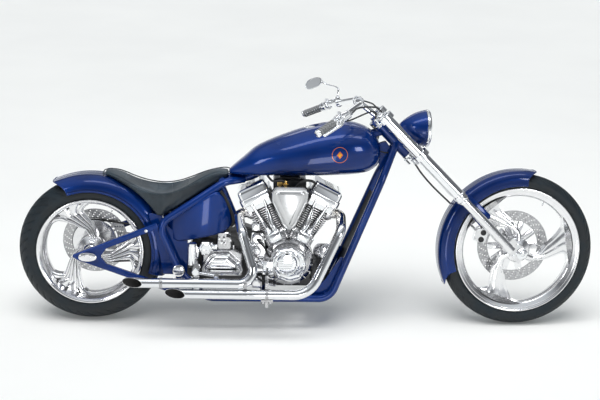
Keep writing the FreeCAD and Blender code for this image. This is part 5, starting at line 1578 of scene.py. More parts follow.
def pulleyTeeth():
    shape = bmesh.new()
    base = sideOn(0, 1)
    outline = []
    for number in range(70):
        for offset, radius in ((-0.34, 97.6), (-0.2, 99.8), (0.2, 99.8), (0.34, 97.6)):
            angle = 2 * math.pi * (number + offset) / 70
            outline.append((radius * math.cos(angle), radius * math.sin(angle)))
    slab(shape, outline, [(0, 103), (0, 121.6)], base)
    spin(shape, [(34.3, 100), (101, 100), (101.6, 101), (101.6, 102.6), (34.3, 103)], acrossAt(0, 0, 0), 96,
         looped=True)
    spin(shape, [(34.3, 121), (78, 121), (76, 116), (34.3, 116)], acrossAt(0, 0, 0), 64, looped=True)
    local = wheelPlace("rear")
    screwRing("rear_wheel", local, (0, 121.5, 0), leftward, 52, 5, 5, 0)
    piece("pulleyToothed", shape, local, [polished], "rear_wheel", ("rear_pulley",), 30)


gearbox()
primary()
pulleyTeeth()
print("gearbox made")

# ---- frame details: side tank, caps, chin panel, gussets

sideTankLook = {
    # columns: x, bottom, top, half width
    "stations": [(342, 432, 466, 84), (352, 408, 482, 98), (372, 394, 500, 107), (404, 388, 522, 112),
                 (450, 396, 552, 114),
                 (500, 406, 583, 113), (540, 413, 607, 107), (566, 418, 616, 98), (590, 424, 602, 86),
                 (610, 432, 566, 73), (626, 446, 520, 58), (634, 462, 488, 42)],
    "corner": 12,
    "shadeEdging": [(584, 86, 618), (602, 76, 590), (620, 64, 548), (635, 50, 506), (641, 42, 470),
               (636, 42, 446)],
}


def sideTank():
    shape = bmesh.new()
    rings = []
    for x, bottom, top, half in through(sideTankLook["stations"], 4):
        corner = min(sideTankLook["corner"], (top - bottom) * 0.4, half * 0.4)
        rings.append([Vector((x, y, (bottom + top) / 2 + z)) for y,
                      z in oblong(2 * half, top - bottom, corner, 6)])
    skin(shape, rings)
    mesh = meshOf("sideTankBody", shape, [bluePaint])
    tool = bmesh.new()
    spin(tool, [(0, -130), (350, -130), (350, 130), (0, 130)], acrossAt(0, 0, rearZ), 96)
    cut = carved(mesh, [meshOf("wheelRoom", tool, [])], "sideTank")
    cut.materials.clear()
    cut.materials.append(bluePaint)
    cut.transform(standPlace)
    smoothed(cut, 34)
    given(linked("sideTankShell", cut), "frame", ("side_tank",))
    shape = bmesh.new()
    for side in (-1, 1):  # rubber edging towards the seat post, black also as painted shade of the gap there
        tubeAlong(shape, through([(x, side * y, z) for x, y, z in sideTankLook["shadeEdging"]], 5), 6.5, 10)
    piece("sideTankShadeEdging", shape, standPlace, [blackRubber], "frame", crease=60)


def frameCaps():
    shape = bmesh.new()
    for side in (-1, 1):
        turned = sideOn(0, side)
        oval = []
        for number in range(40):
            angle = 2 * math.pi * number / 40
            oval.append((42 * math.copysign(abs(math.cos(angle)) ** 0.9, math.cos(angle)),
                         rearZ + 20.5 * math.copysign(abs(math.sin(angle)) ** 0.9, math.sin(angle))))
        slab(shape, oval, [(0, 156.2), (0, 168), (0.8, 172), (3, 175), (7, 176.4), (12, 176.8)], turned)
        centre = acrossAt(402, 0, 268)
        if side < 0:
            centre = centre @ Matrix.Rotation(math.pi, 4, "X")
        spin(shape, [(0, 150), (26, 150), (27.5, 152), (27.5, 160), (26, 163.4), (22, 165.4), (12, 166.6),
                     (0, 167)], centre, 48)
        spin(shape, [(0, 176), (16, 176), (15, 178.4), (0, 178.4)], acrossAt(0, 0, rearZ) if side > 0 else
             acrossAt(0, 0, rearZ) @ Matrix.Rotation(math.pi, 4, "X"), 6)
    piece("ovalCovers", shape, standPlace, [polished], "frame", ("frame_caps",), 30)


strutLook = {
    "outline": [(-80, 2, 9), (-42, -19, 24), (446.7, -190.6, 8), (455.6, -165.1, 8), (82, -33.5, 12),
                (56, 1, 12), (82, 37.5, 12), (315.9, 133.3, 8), (305.7, 158.3, 8)],
    "inside": 139, "outside": 162, "edge": 6,
}


def rearStruts():
    shape = bmesh.new()
    outline = rounded(strutLook["outline"], 8, 5)
    for side in (-1, 1):
        place = Matrix.Translation((0, 0, rearZ)) @ sideOn(0, side)
        slab(shape, outline, softEdge(strutLook["outside"] - strutLook["inside"], strutLook["edge"], 4,
                                      strutLook["inside"]), place)
        rod(shape, (258, side * 99, 449), (258, side * 146, 449), 9, 20)
        screw("frame", standPlace, (258, side * 161, 449), (0, side, 0), 5)
    piece("rearStrutPair", shape, standPlace, [bluePaint], "frame", ("rear_struts",), 34)


# outlines of the black plates and blocks that stand as painted shade in the cradle and engine bay
strutRoom = {
    "plates": [[(430, 170), (700, 170), (742, 330), (742, 430), (660, 458), (470, 400), (418, 300)],
               [(700, 168), (1062, 168), (1050, 205), (860, 210), (720, 205)]],
    # columns: x, z, length, width, height
    "blocks": [(742, 300, 96, 96, 232), (1018, 240, 44, 92, 120), (730, 396, 110, 84, 70)],
}


def framePanels():
    shape = bmesh.new()
    # chin panel between the two front tubes, round the bend under the engine; its upper part is near-black
    # painted shade, its lower corner blue paint
    line = through([(1262, 600), (1226, 510), (1190, 420), (1140, 305), (1098, 212), (1066, 160),
                    (1028, 131), (985, 124)], 5)
    rings = []
    for number, (x, z) in enumerate(line):
        before = line[max(number - 1, 0)]
        after = line[min(number + 1, len(line) - 1)]
        way = Vector((after[0] - before[0], after[1] - before[1])).normalized()
        normal = Vector((-way.y, way.x))
        half = 84 + 28 * min(1, number / 18)
        ring = []
        for thick in (0, 3):
            row = []
            for step in range(11):
                s = -1 + 2 * step / 10
                dish = 14 * (1 - s * s) + thick
                row.append(Vector((x + normal.x * dish, half * s, z + normal.y * dish)))
            ring += row if thick == 0 else list(reversed(row))
        rings.append(ring)
    # upper rings in near-black painted shade
    skin(shape, rings[:18], tint=1)
    skin(shape, rings[17:])
    # side sheet between the fender and the bent rail
    sheet = rounded([(262, 520), (322, 508), (354, 456), (392, 424), (440, 406), (438, 236), (330, 236),
                     (316, 318), (292, 420)], 8, 4)
    slab(shape, sheet, [(1, 103), (0, 104), (0, 106.5), (1, 107.5)], sideOn(0, -1))
    corner = rounded([(975, 122), (1030, 126), (1072, 158), (1150, 318), (1128, 326), (1062, 222),
                      (1010, 170)], 8, 4)
    for side in (-1, 1):
        slab(shape, corner, [(1, 98), (0, 99), (0, 102), (1, 103)], sideOn(0, side))
    for side in (-1, 1):  # gusset plates at the neck
        outline = rounded([(1206, 805, 8), (1322, 842, 10), (1362, 786, 12), (1300, 690, 8),
                           (1290, 760, 30)], 10, 5)
        place = sideOn(side * 10, side)
        slab(shape, outline, [(1, 0), (0, 1), (0, 4), (1, 5)], place)
    piece("framePanels", shape, standPlace, [bluePaint, paintedShadeBlack], "frame", crease=40)
    # black plates and blocks in the cradle, behind the bright covers: painted shade, dark fill where shade
    # falls between the parts
    shape = bmesh.new()
    side = sideOn(0, -1)
    for outline in strutRoom["plates"]:
        slab(shape, rounded(outline, 12, 4), [(1.5, -34), (0, -32), (0, 32), (1.5, 34)], side)
    for x, z, wide, deep, high in strutRoom["blocks"]:
        softBox(shape, wide, deep, high, Matrix.Translation((x, 0, z)), 8, 4)
    for number in range(11):  # cooling ribs drawn like a regulator ahead of the engine, black also as painted shade between the front tubes
        softBox(shape, 60, 118, 3, Matrix.Translation((1052, 0, 196 + 9 * number)), 6, 1)
    piece("cradleShadeBlocks", shape, standPlace, [blackCoat], "frame", crease=34)
    shape = bmesh.new()
    spin(shape, [(0, -6), (33, -6), (37, -2), (37, 58), (34, 64), (30, 66), (12, 68), (10, 66), (0, 66)],
         aimed((1040, -22, 330), (0.35, -0.85, 0.2)), 40)
    for z in (186, 214):
        rod(shape, (790, -52, z), (838, -70, z - 8), 7, 16)
    softBox(shape, 46, 40, 52, Matrix.Translation((752, -70, 196)), 8, 5)
    softBox(shape, 40, 36, 34, Matrix.Translation((744, -62, 452)), 8, 5)
    rod(shape, (744, -80, 452), (744, -96, 452), 13, 24, bevel=2)
    for x, y, z, radius in ((752, -52, 396, 25), (748, -52, 338, 20), (770, -58, 292, 17),
                            (724, -52, 300, 15), (736, -52, 250, 22)):
        spin(shape, [(0, 0), (radius, 0), (radius + 1, 2), (radius + 1, 22), (radius - 2, 26),
                     (radius - 6, 27), (radius - 7, 24),
                     (radius * 0.4, 24), (radius * 0.4, 29), (0, 29)], aimed((x, y, z), (0, -1, 0)), 30)
    plate = rounded([(716, 232), (790, 232), (796, 300), (776, 420), (726, 424), (712, 320)], 10, 4)
    slab(shape, plate, [(0, 48), (0, 53), (1, 54.5), (3, 55)], side)
    for x, z in ((722, 246), (786, 244), (784, 300), (770, 412), (732, 416), (720, 330), (452, 200),
                 (690, 440), (640, 448)):
        screw("frame", standPlace, (x, -56 if x > 700 else -35, z), rightward, 5)
    piece("cradleFittings", shape, standPlace, [polished], "frame", crease=32)
    shape = bmesh.new()
    for side in (-1, 1):  # stubs of the lower rails behind the cradle
        rod(shape, (560, side * 131, 141), (372, side * 134, 150), 15, 28, bevel=5)
    piece("railStubs", shape, standPlace, [bluePaint], "frame", crease=34)
    # neck cups
    shape = bmesh.new()
    for up, sense in ((667, 1), (863, -1)):
        spot = fork(-55, 0, up)
        spin(shape, [(16, -1), (31, -1), (33, 1), (33, 9), (31, 11), (16, 11)], aimed(spot, upFork * sense),
             40, looped=True)
    piece("neckCups", shape, standPlace, [chrome], "frame")


sideTank()
frameCaps()
rearStruts()
framePanels()
print("frame details made")

# ---- fork, axle, brakes

def forkTrim():
    shape = bmesh.new()
    for side in (-1, 1):
        def spot(up, ahead=-22):
            return fork(ahead, side * machine["forkHalf"], up)
        # seal and collar where the slim leg enters
        spin(shape, [(21.3, -2), (27, -2), (29, 0), (29.4, 4), (28.4, 8), (29.4, 12), (29.4, 26), (28, 30),
                     (27.2, 31)],
             aimed(spot(372), upFork), 48)
        spin(shape, [(21.3, 0), (24, 0), (25, 2), (25, 10), (23.5, 13), (21.3, 14)],
             aimed(spot(356), upFork), 48, looped=True)
        spin(shape, [(0, 0), (24, 0), (25.5, 1.5), (25.5, 6), (23, 9), (14, 10), (13, 8), (0, 8)],
             aimed(spot(894), upFork), 6)
        spin(shape, [(0, 0), (27.4, 0), (27.4, 5), (25, 7), (0, 7)], aimed(spot(888), upFork), 40)
        for up in (400, 418):
            screw("steering", turnPlace, spot(up) + Vector((0, side * 27, 0)), (0, side, 0), 3.6)
        for up in (652, 892):  # pinch bolts on both clamps
            base = fork(-22 - 34, side * machine["forkHalf"], up - 12)
            screw("steering", turnPlace, base + Vector((0, side * 20, 0)), (0, side, 0), 5)
        # axle clamp with its two caps
        base = fork(0, side * machine["forkHalf"], 0)
        screw("steering", turnPlace, fork(-34, side * 105, 18) + Vector((0, side * 12, 0)), (0, side, 0), 5)
        screw("steering", turnPlace, fork(14, side * 105, 44) + Vector((0, side * 12, 0)), (0, side, 0), 5)
        spin(shape, [(0, 0), (24, 0), (25, 2), (25, 8), (21, 12), (15, 13), (14, 16), (9, 17), (8.2, 14),
                     (0, 14)],
             aimed(base + Vector((0, side * 11, 0)), (0, side, 0)), 40)
    # stem nut above the upper clamp
    top = fork(-55, 0, 892)
    spin(shape, [(0, 0), (22, 0), (22, 4), (19, 6), (19, 14), (16, 17), (7, 18), (6, 15), (0, 15)],
         aimed(top, upFork), 6)
    spin(shape, [(0, -1), (24, -1), (24, 2), (0, 2)], aimed(top, upFork), 40)
    piece("forkTrim", shape, turnPlace, [chrome], "steering", crease=30)


def caliperShape(name, body, place, x, z, angle, low, high, discAt, instead):
    shape = bmesh.new()
    local = Matrix.Translation((x, 0, z)) @ Matrix.Rotation(math.radians(-angle), 4, "Y")
    outline = rounded([(-29, -34, 14), (29, -30, 10), (31, 0, 26), (29, 30, 10), (-29, 34, 14)], 12, 5)
    gap = 7.6
    for first, last in ((low, discAt - gap), (discAt + gap, high)):
        slab(shape, outline, [(2.4, first), (0, first + 2.4), (0, last - 2.4), (2.4, last)],
             local @ sideOn(0, 1))
    slab(shape, rounded([(16, -30), (31, -30), (31, 30), (16, 30)], 5, 4), [(0, low + 3), (0, high - 3)],
         local @ sideOn(0, 1))
    for lift in (-17, 17):  # piston covers on both faces
        for side, face in ((-1, low), (1, high)):
            centre = local @ Vector((-4, face, lift))
            spin(shape, [(0, -1), (13, -1), (13.5, 0.4), (12.8, 2.2), (10.5, 3), (9.6, 2), (0, 2)],
                 aimed(centre, (0, side, 0)), 28, tint=1)
            screw(body, place, local @ Vector((22, face, lift * 1.45)), (0, side, 0), 4)
    piece(name, shape, place, [polished, blackCoat], body, instead, 30)


def brakes():
    reach = 158
    angle = 162.5
    x = frontX + reach * math.cos(math.radians(angle))
    z = frontZ + reach * math.sin(math.radians(angle))
    caliperShape("frontCaliperBody", "steering", turnPlace, x, z, angle, 50, 92, 67, ("front_caliper",))
    shape = bmesh.new()
    arm = rounded([(x - 20, z - 28, 8), (x - 22, z + 24, 8), (frontX - 132, frontZ + 108, 10),
                   (frontX - 84, frontZ + 64, 10),
                   (frontX - 112, frontZ + 44, 12), (x + 28, z - 24, 8)], 8, 5)
    slab(shape, arm, [(1.4, 92), (0, 93.4), (0, 100.6), (1.4, 102)], sideOn(0, 1))
    screw("steering", turnPlace, (x - 6, 102, z - 12), leftward, 5)
    screw("steering", turnPlace, (x - 8, 102, z + 14), leftward, 5)
    piece("caliperBracket", shape, turnPlace, [polished], "steering")
    caliperShape("rearCaliperBody", "frame", standPlace, 142, rearZ + 4, 2, 112, 143, 128,
                 ("rear_caliper",))


def axleTrim():
    shape = bmesh.new()
    for side in (-1, 1):
        spin(shape, [(0, -8), (20, -8), (20, -1), (17, 0), (0, 0)],
             aimed((0, side * 176, rearZ), (0, side, 0)), 6)
    piece("rearAxleNuts", shape, standPlace, [chrome], "frame", crease=30)


forkTrim()
brakes()
axleTrim()
print("fork and brakes made")

# ---- headlight

lampLook = {"x": 1372, "z": 901, "radius": 82, "long": 126}


def headlight():
    base = Matrix.Translation((lampLook["x"], 0, lampLook["z"])) @ Matrix.Rotation(math.pi / 2, 4, "Y")
    radius, long = lampLook["radius"], lampLook["long"]
    outside = [(0, 0), (4, 0.6), (11, 3.4), (20, 9.5), (30, 19), (41, 32), (51, 46), (60, 60), (67.5, 74),
               (73.5, 88), (78, 102), (80.8, 115), (radius, long)]
    rows = outside + [(radius - 3, long)] + [(max(r - 3.4, 0), h + 3) for r,
                                             h in reversed(outside[1:-1])] + [(0, 4)]
    shape = bmesh.new()
    spin(shape, rows, base, 96)
    spin(shape, [(radius - 1, long - 9), (radius + 1, long - 9), (radius + 1.4, long - 7),
                 (radius + 1, long - 4), (radius - 1, long - 4)],
         base, 96, looped=True)
    piece("lampBullet", shape, turnPlace, [bluePaint], "steering", ("headlight_shell",), 40)
    shape = bmesh.new()
    spin(shape, [(radius - 8, long - 1), (radius + 2, long - 1), (radius + 3.8, long + 0.6),
                 (radius + 3.8, long + 5), (radius + 2.6, long + 6.5),
                 (radius + 3.2, long + 9), (radius + 1.6, long + 14), (radius - 2, long + 17.4),
                 (radius - 6, long + 17.6), (radius - 8, long + 15)], base, 96, looped=True)
    piece("lampBezel", shape, turnPlace, [chrome], "steering", ("headlight_bezel",), 30)
    screw("steering", turnPlace, (lampLook["x"] + long + 8, 0, lampLook["z"] + radius + 1), (0, 0, 1), 2.4)
    shape = bmesh.new()
    bowl = [(0, long - 58), (16, long - 56), (34, long - 48), (52, long - 34), (64, long - 18),
            (72, long - 2), (73.5, long + 4)]
    spin(shape, bowl + [(r + 1.2, h - 1.4) for r, h in reversed(bowl[1:])] + [(0, long - 60)], base, 72)
    spin(shape, [(0, long - 58), (9, long - 58), (9, long - 40), (0, long - 40)], base, 24)
    piece("lampBowl", shape, turnPlace, [chrome], "steering", crease=30)
    shape = bmesh.new()
    spin(shape, [(0, long - 41), (8, long - 41), (9.5, long - 33), (11, long - 24), (8.5, long - 15),
                 (3, long - 10), (0, long - 9.6)], base, 24)
    piece("lampBulb", shape, turnPlace, [bulbGlow], "steering", crease=60)


bulbGlow = finish("bulbGlass", lambda desk: desk.surface(
    Base_Color=desk.mix(desk.noise(90.0), (0.80, 0.80, 0.78, 1), (0.95, 0.95, 0.92, 1)), Roughness=0.12,
    Coat_Weight=1.0, Coat_Roughness=0.05))
headlight()

# ---- bars: grips, reservoirs, mirror, hoses

barLook = {"end": Vector((979, 356, 918)), "bend": Vector((1090, 253, 976)),
           "middle": Vector((1192, 82, 1018)), "grip": 118}


def gripsAndControls():
    sleeves = bmesh.new()
    rings = bmesh.new()
    chromeParts = bmesh.new()
    long = barLook["grip"]
    for side in (-1, 1):
        end = Vector((barLook["end"].x, side * barLook["end"].y, barLook["end"].z))
        bend = Vector((barLook["bend"].x, side * barLook["bend"].y, barLook["bend"].z))
        inward = (bend - end).normalized()
        outward = inward.cross(Vector((0, 0, 1))).normalized() * -side * 0.9
        place = aimed(end, inward)
        spin(sleeves, [(0, -4), (12, -4), (15.4, -2.6), (17, 0.6), (17, 5), (15.2, 7), (14.4, 9),
                       (14.4, long - 9), (15.6, long - 7), (19.5, long - 5), (19.5, long - 1), (17, long),
                       (12.8, long), (12.8, long - 2), (0, long - 2)], place, 48)
        for number in range(7):  # soft rings in the sleeve
            at = 15 + number * 14.4
            spin(rings, [(14, at - 5), (15.8, at - 5), (16.9, at - 3.8), (17.1, at), (16.9, at + 3.8),
                         (15.8, at + 5), (14, at + 5)],
                 place, 48, looped=True)
        spot = end + inward * (long + 22)
        # fluid reservoir with its lid, and the split clamp
        box = spot + outward * 20 + inward * 24 + Vector((0, 0, 6))
        frameWay = Matrix((inward, outward, inward.cross(outward))).transposed().to_4x4()
        lift = 1 if inward.cross(outward).z > 0 else -1
        local = Matrix.Translation(box) @ frameWay
        softBox(chromeParts, 52, 30, 24, local, 10, 4)
        softBox(chromeParts, 54, 32, 5, local @ Matrix.Translation((0, 0, lift * 14)), 10, 2)
        for shift in (-20, 20):
            screw("steering", turnPlace, local @ Vector((shift, 0, lift * 16.4)),
                  frameWay.to_3x3() @ Vector((0, 0, lift)), 3)
        spin(chromeParts, [(12.9, -17), (20, -17), (21.5, -15), (21.5, -2), (20.4, 0), (21.5, 2),
                           (21.5, 15), (20, 17), (12.9, 17)],
             aimed(spot, inward), 40, looped=True)
        softBox(chromeParts, 34, 20, 16, Matrix.Translation(spot + outward * 16) @ frameWay, 6, 3)
        # switch block below
        block = Matrix.Translation(end + inward * (long + 3 + 46) - Vector((0, 0, 2))) @ frameWay
        softBox(chromeParts, 30, 34, 34, block, 10, 5)
        # blade lever on its pivot, tapering to a ball
        pivot = spot + outward * 30 - inward * 2
        tip = end + outward * 46 - inward * 4
        elbow = spot + outward * 52 - inward * 34
        line = [pivot + (elbow - pivot) * t for t in (0, 0.35, 0.7)]
        line += [elbow + (tip - elbow) * t for t in (0.06, 0.25, 0.5, 0.72, 0.88, 0.95)]
        thick = [7.5, 7.2, 6.8, 6.4, 5.8, 5.2, 4.8, 4.8, 5.4]
        rings2 = []
        for number, place2 in enumerate(line):
            before = line[max(number - 1, 0)]
            after = line[min(number + 1, len(line) - 1)]
            way = (after - before).normalized()
            across = way.cross(Vector((0, 0, 1))).normalized()
            up = across.cross(way)
            wide = thick[number]
            rings2.append([place2 + across * (wide * 0.62 * math.cos(t)) + up * (wide * math.sin(t))
                           for t in (2 * math.pi * k / 14 for k in range(14))])
        skin(chromeParts, rings2)
        knob = [(0, -7)] + [(6.6 * math.sin(math.pi * k / 8),
                             -6.6 * math.cos(math.pi * k / 8)) for k in range(1, 8)] + [(0, 6.6)]
        spin(chromeParts, knob, aimed(tip, tip - elbow), 20)
        rod(chromeParts, pivot + Vector((0, 0, -9)), pivot + Vector((0, 0, 10)), 6.5, 18)
        screw("steering", turnPlace, pivot + Vector((0, 0, 10)), (0, 0, 1), 3.6)
    for side in (-1, 1):  # riser clamps and their screws
        centre = Vector((1192, side * 34, 1018))
        spin(chromeParts, [(12.8, -14), (20, -14), (21.6, -12), (21.6, 12), (20, 14), (12.8, 14)],
             aimed(centre, leftward), 40, looped=True)
        for shift in (-7, 7):
            screw("steering", turnPlace, centre + Vector((13, shift, 16)), (0.62, 0, 0.78), 3.6)
        foot = fork(-40, side * 34, 892)
        spin(chromeParts, [(0, -1), (19, -1), (20, 0), (20, 5), (17, 8), (13, 10), (0, 10)],
             aimed(foot, centre - foot), 36)
    piece("gripSleeves", sleeves, turnPlace, [chrome], "steering", crease=30)
    piece("gripRings", rings, turnPlace, [gripRubber], "steering", ("grips",), 40)
    piece("barControls", chromeParts, turnPlace, [chrome], "steering", crease=32)


def mirror():
    centre = Vector((1030, 330, 1065))
    glassWay = Vector((-0.80, -0.55, 0.20)).normalized()
    level = Vector((0, 0, 1)).cross(glassWay).normalized()
    roll = math.radians(18)
    longWay = level * math.cos(roll) + glassWay.cross(level) * math.sin(roll)
    highWay = glassWay.cross(longWay)
    shape = bmesh.new()
    rings = []
    # columns: share of the outline, height along the way the glass faces
    for share, rise in ((0.10, -0.6), (0.35, 0.2), (0.58, 1.6), (0.76, 3.8), (0.89, 6.6), (0.965, 9.4),
                        (0.995, 11.6), (1.0, 13.0),
                        (0.992, 14.0), (0.955, 14.2), (0.935, 13.4), (0.93, 10.8), (0.4, 10.6)):
        ring = []
        for number in range(56):
            angle = 2 * math.pi * number / 56
            c, s = math.cos(angle), math.sin(angle)
            along = 58 * math.copysign(abs(c) ** 0.92, c) * share
            high = 26 * math.copysign(abs(s) ** 0.92, s) * share * (1 - 0.10 * c)
            ring.append(centre + longWay * along + highWay * high + glassWay * rise)
        rings.append(ring)
    skin(shape, rings)
    way = (barLook["middle"] - barLook["bend"]).normalized()
    foot = barLook["bend"] + way * 62
    spin(shape, [(12.9, -14), (19, -14), (20.6, -12), (20.6, 12), (19, 14), (12.9, 14)], aimed(foot, way),
         40, looped=True)
    spin(shape, [(0, 8), (11, 8), (11, 26), (9, 29), (6.6, 31), (6.6, 37), (5.4, 39), (0, 39)],
         aimed(foot, (0, 0, 1)), 28)
    joint = centre + longWay * 40 - glassWay * 1
    spin(shape, [(0, -2), (7.5, -2), (9, 0), (8, 6), (0, 6)], aimed(joint, glassWay), 24)
    screw("steering", turnPlace, foot + Vector((14, 4, -15)), (0.5, 0.2, -0.8), 3.4)
    piece("mirrorShell", shape, turnPlace, [chrome], "steering", ("mirror",), 34)
    nurbsTube("mirrorStem", [foot + Vector((0, 0, 24)), foot + Vector((1, 2, 48)),
                             foot + Vector((5, 9, 72)), joint + Vector((22, 4, -14)),
                             joint + longWay * 4 - glassWay * 2], 4.6, turnPlace, chrome, "steering")


def steeringHoses():
    rightEnd = Vector((979, -356, 918))
    rightWay = (Vector((1090, -253, 976)) - rightEnd).normalized()
    rightOut = rightWay.cross(Vector((0, 0, 1))).normalized()
    leftWay = Vector((rightWay.x, -rightWay.y, rightWay.z))
    leftOut = Vector((rightOut.x, -rightOut.y, rightOut.z))
    leftEnd = Vector((979, 356, 918))
    start = rightEnd + rightWay * 192 + rightOut * 18
    clutch = leftEnd + leftWay * 192 + leftOut * 18
    throttle = rightEnd + rightWay * 156 + Vector((6, -2, -16))
    nurbsTube("brakeHoseHigh", [start - rightWay * 6, start + rightWay * 34, (1160, -178, 1008),
                                (1214, -146, 1012), (1262, -96, 1004),
                                fork(-14, -58, 935), fork(-14, -58, 905), fork(-14, -58, 888)], 4.2,
              turnPlace, braid, "steering",
              ("brake_hose",))
    nurbsTube("brakeHoseLow", [fork(-60, 56, 640), fork(-64, 60, 600), fork(-74, 72, 550),
                               fork(-78, 78, 450), fork(-72, 83, 348),
                               fork(-74, 84, 260), fork(-72, 81, 176)], 4.2, turnPlace, braid, "steering")
    nurbsTube("throttleCable", [throttle, throttle + Vector((34, 26, 4)), (1140, -222, 964),
                                (1212, -140, 984), (1252, -84, 986), (1268, -62, 970),
                                fork(-56, -54, 905), fork(-56, -54, 888)], 3.4, turnPlace, blackRubber,
              "steering", ("control_cables",))
    nurbsTube("clutchCable", [clutch - leftWay * 6, clutch + leftWay * 34, (1168, 170, 1008),
                              (1218, 132, 1012), (1266, 88, 1002), fork(-14, 58, 932),
                              fork(-14, 58, 905), fork(-14, 58, 888)], 3.4, turnPlace, blackRubber,
              "steering")
    nurbsTube("lampWire", [fork(-44, -20, 648), fork(-20, -30, 660), fork(14, -26, 690), fork(30, -14, 730),
                           (1386, -8, 868)], 3.0,
              turnPlace, blackRubber, "steering")
    shape = bmesh.new()
    for spot, way in ((start, rightWay), (clutch, leftWay)):
        rod(shape, spot - way * 8, spot + way * 18, 6.4, 6)
    for side in (-58, 58):
        rod(shape, fork(-14, side, 886), fork(-14, side, 904), 6.4, 6)
    rod(shape, fork(-56, -54, 886), fork(-56, -54, 902), 5.4, 6)
    rod(shape, fork(-60, 56, 642), fork(-61, 57, 626), 6.4, 6)
    rod(shape, fork(-72, 81, 172), fork(-73, 82, 196), 6.4, 6)
    rod(shape, throttle - Vector((0, 0, 2)), throttle + Vector((10, 8, 1)), 5, 12)
    piece("hoseFittings", shape, turnPlace, [chrome], "steering", crease=30)
    # wires that leave the neck for the tank
    nurbsTube("neckLoom", [fork(-84, -8, 742), fork(-110, -14, 735), fork(-135, -14, 760),
                           fork(-142, -8, 800), (1290, 0, 870)], 3.6, standPlace,
              blackRubber, "frame")


gripsAndControls()
mirror()
steeringHoses()
print("bars made")

# ---- foot controls, hanger, side stand

def footTrim():
    rubber = bmesh.new()
    metal = bmesh.new()
    for side in (-1, 1):
        for number in range(6):
            at = 172 + number * 11.5
            spin(rubber, [(12, at - 3.6), (14.4, at - 3.6), (15.6, at - 2.4), (15.6, at + 2.4),
                          (14.4, at + 3.6), (12, at + 3.6)],
                 aimed((481, 0, 286), (0, side, 0)), 32, looped=True)
        spin(metal, [(0, 236), (15, 236), (17, 238), (17, 243), (14, 247), (0, 248)],
             aimed((481, 0, 286), (0, side, 0)), 36)
        spin(metal, [(0, 156), (17, 156), (18, 158), (16, 165), (13, 167), (0, 167)],
             aimed((481, 0, 286), (0, side, 0)), 36)
        for number in range(3):
            at = 186 + number * 12
            spin(rubber, [(8, at - 4), (10.6, at - 4), (11.4, at - 3), (11.4, at + 3), (10.6, at + 4),
                          (8, at + 4)],
                 aimed((570, 0, 253), (0, side, 0)), 28, looped=True)
        screw("frame", standPlace, (481, side * 157, 200), (0, side, 0), 5)
        screw("frame", standPlace, (481, side * 157, 232), (0, side, 0), 5)
    # brake cylinder with its cap and bellows
    spin(metal, [(0, 0), (21, 0), (22, 2), (22, 10), (20, 13), (0, 13)],
         aimed((462, -166, 385), (0, 0, 1)), 6)
    for number in range(4):
        spin(rubber, [(9, 0), (15, 1.5), (9, 4)], aimed((462, -166, 286 + 4 * number), (0, 0, 1)), 24,
             looped=True)
    piece("pegRubbers", rubber, standPlace, [gripRubber], "frame", crease=40)
    piece("pegEnds", metal, standPlace, [chrome], "frame", crease=30)


def hangerTrim():
    shape = bmesh.new()
    for x in (780, 812):
        spin(shape, [(0, 0), (9, 0), (9, 9), (6, 10), (0, 10)], aimed((x, -250, 158), (0, 0, -1)), 6)
        rod(shape, (x, -250, 168), (x, -250, 156), 4.5, 14)
    for z, x in ((237, 700), (189, 796), (237, 330)):
        spin(shape, [(22.1, -7), (23.6, -7), (24.2, -6), (24.2, 6), (23.6, 7), (22.1, 7)],
             aimed((x, -250, z), (1, 0, 0)), 48, looped=True)
    slab(shape, rounded([(770, 158), (824, 158), (824, 168), (770, 168)], 4, 4),
         [(1, -262), (0, -261), (0, -239), (1, -238)], sideOn(0, 1))
    # flange collars where the pipes meet the heads
    for sign in (-1, 1):
        port = vee(sign) @ Vector((sign * 62, -44, 280))
        way = (vee(sign).to_3x3() @ Vector((sign, 0, 0))).normalized()
        spin(shape, [(22.1, -2), (33, -2), (34, 0), (34, 5), (32, 7), (26, 8), (25, 14), (22.1, 15)],
             aimed(port, way), 40, looped=True)
        for up in (-1, 1):
            spot = port + way * 6 + (vee(sign).to_3x3() @ Vector((0, up * 27, 0)))
            screw("frame", standPlace, spot, way, 5)
    piece("pipeHangerTrim", shape, standPlace, [steel], "frame", crease=30)


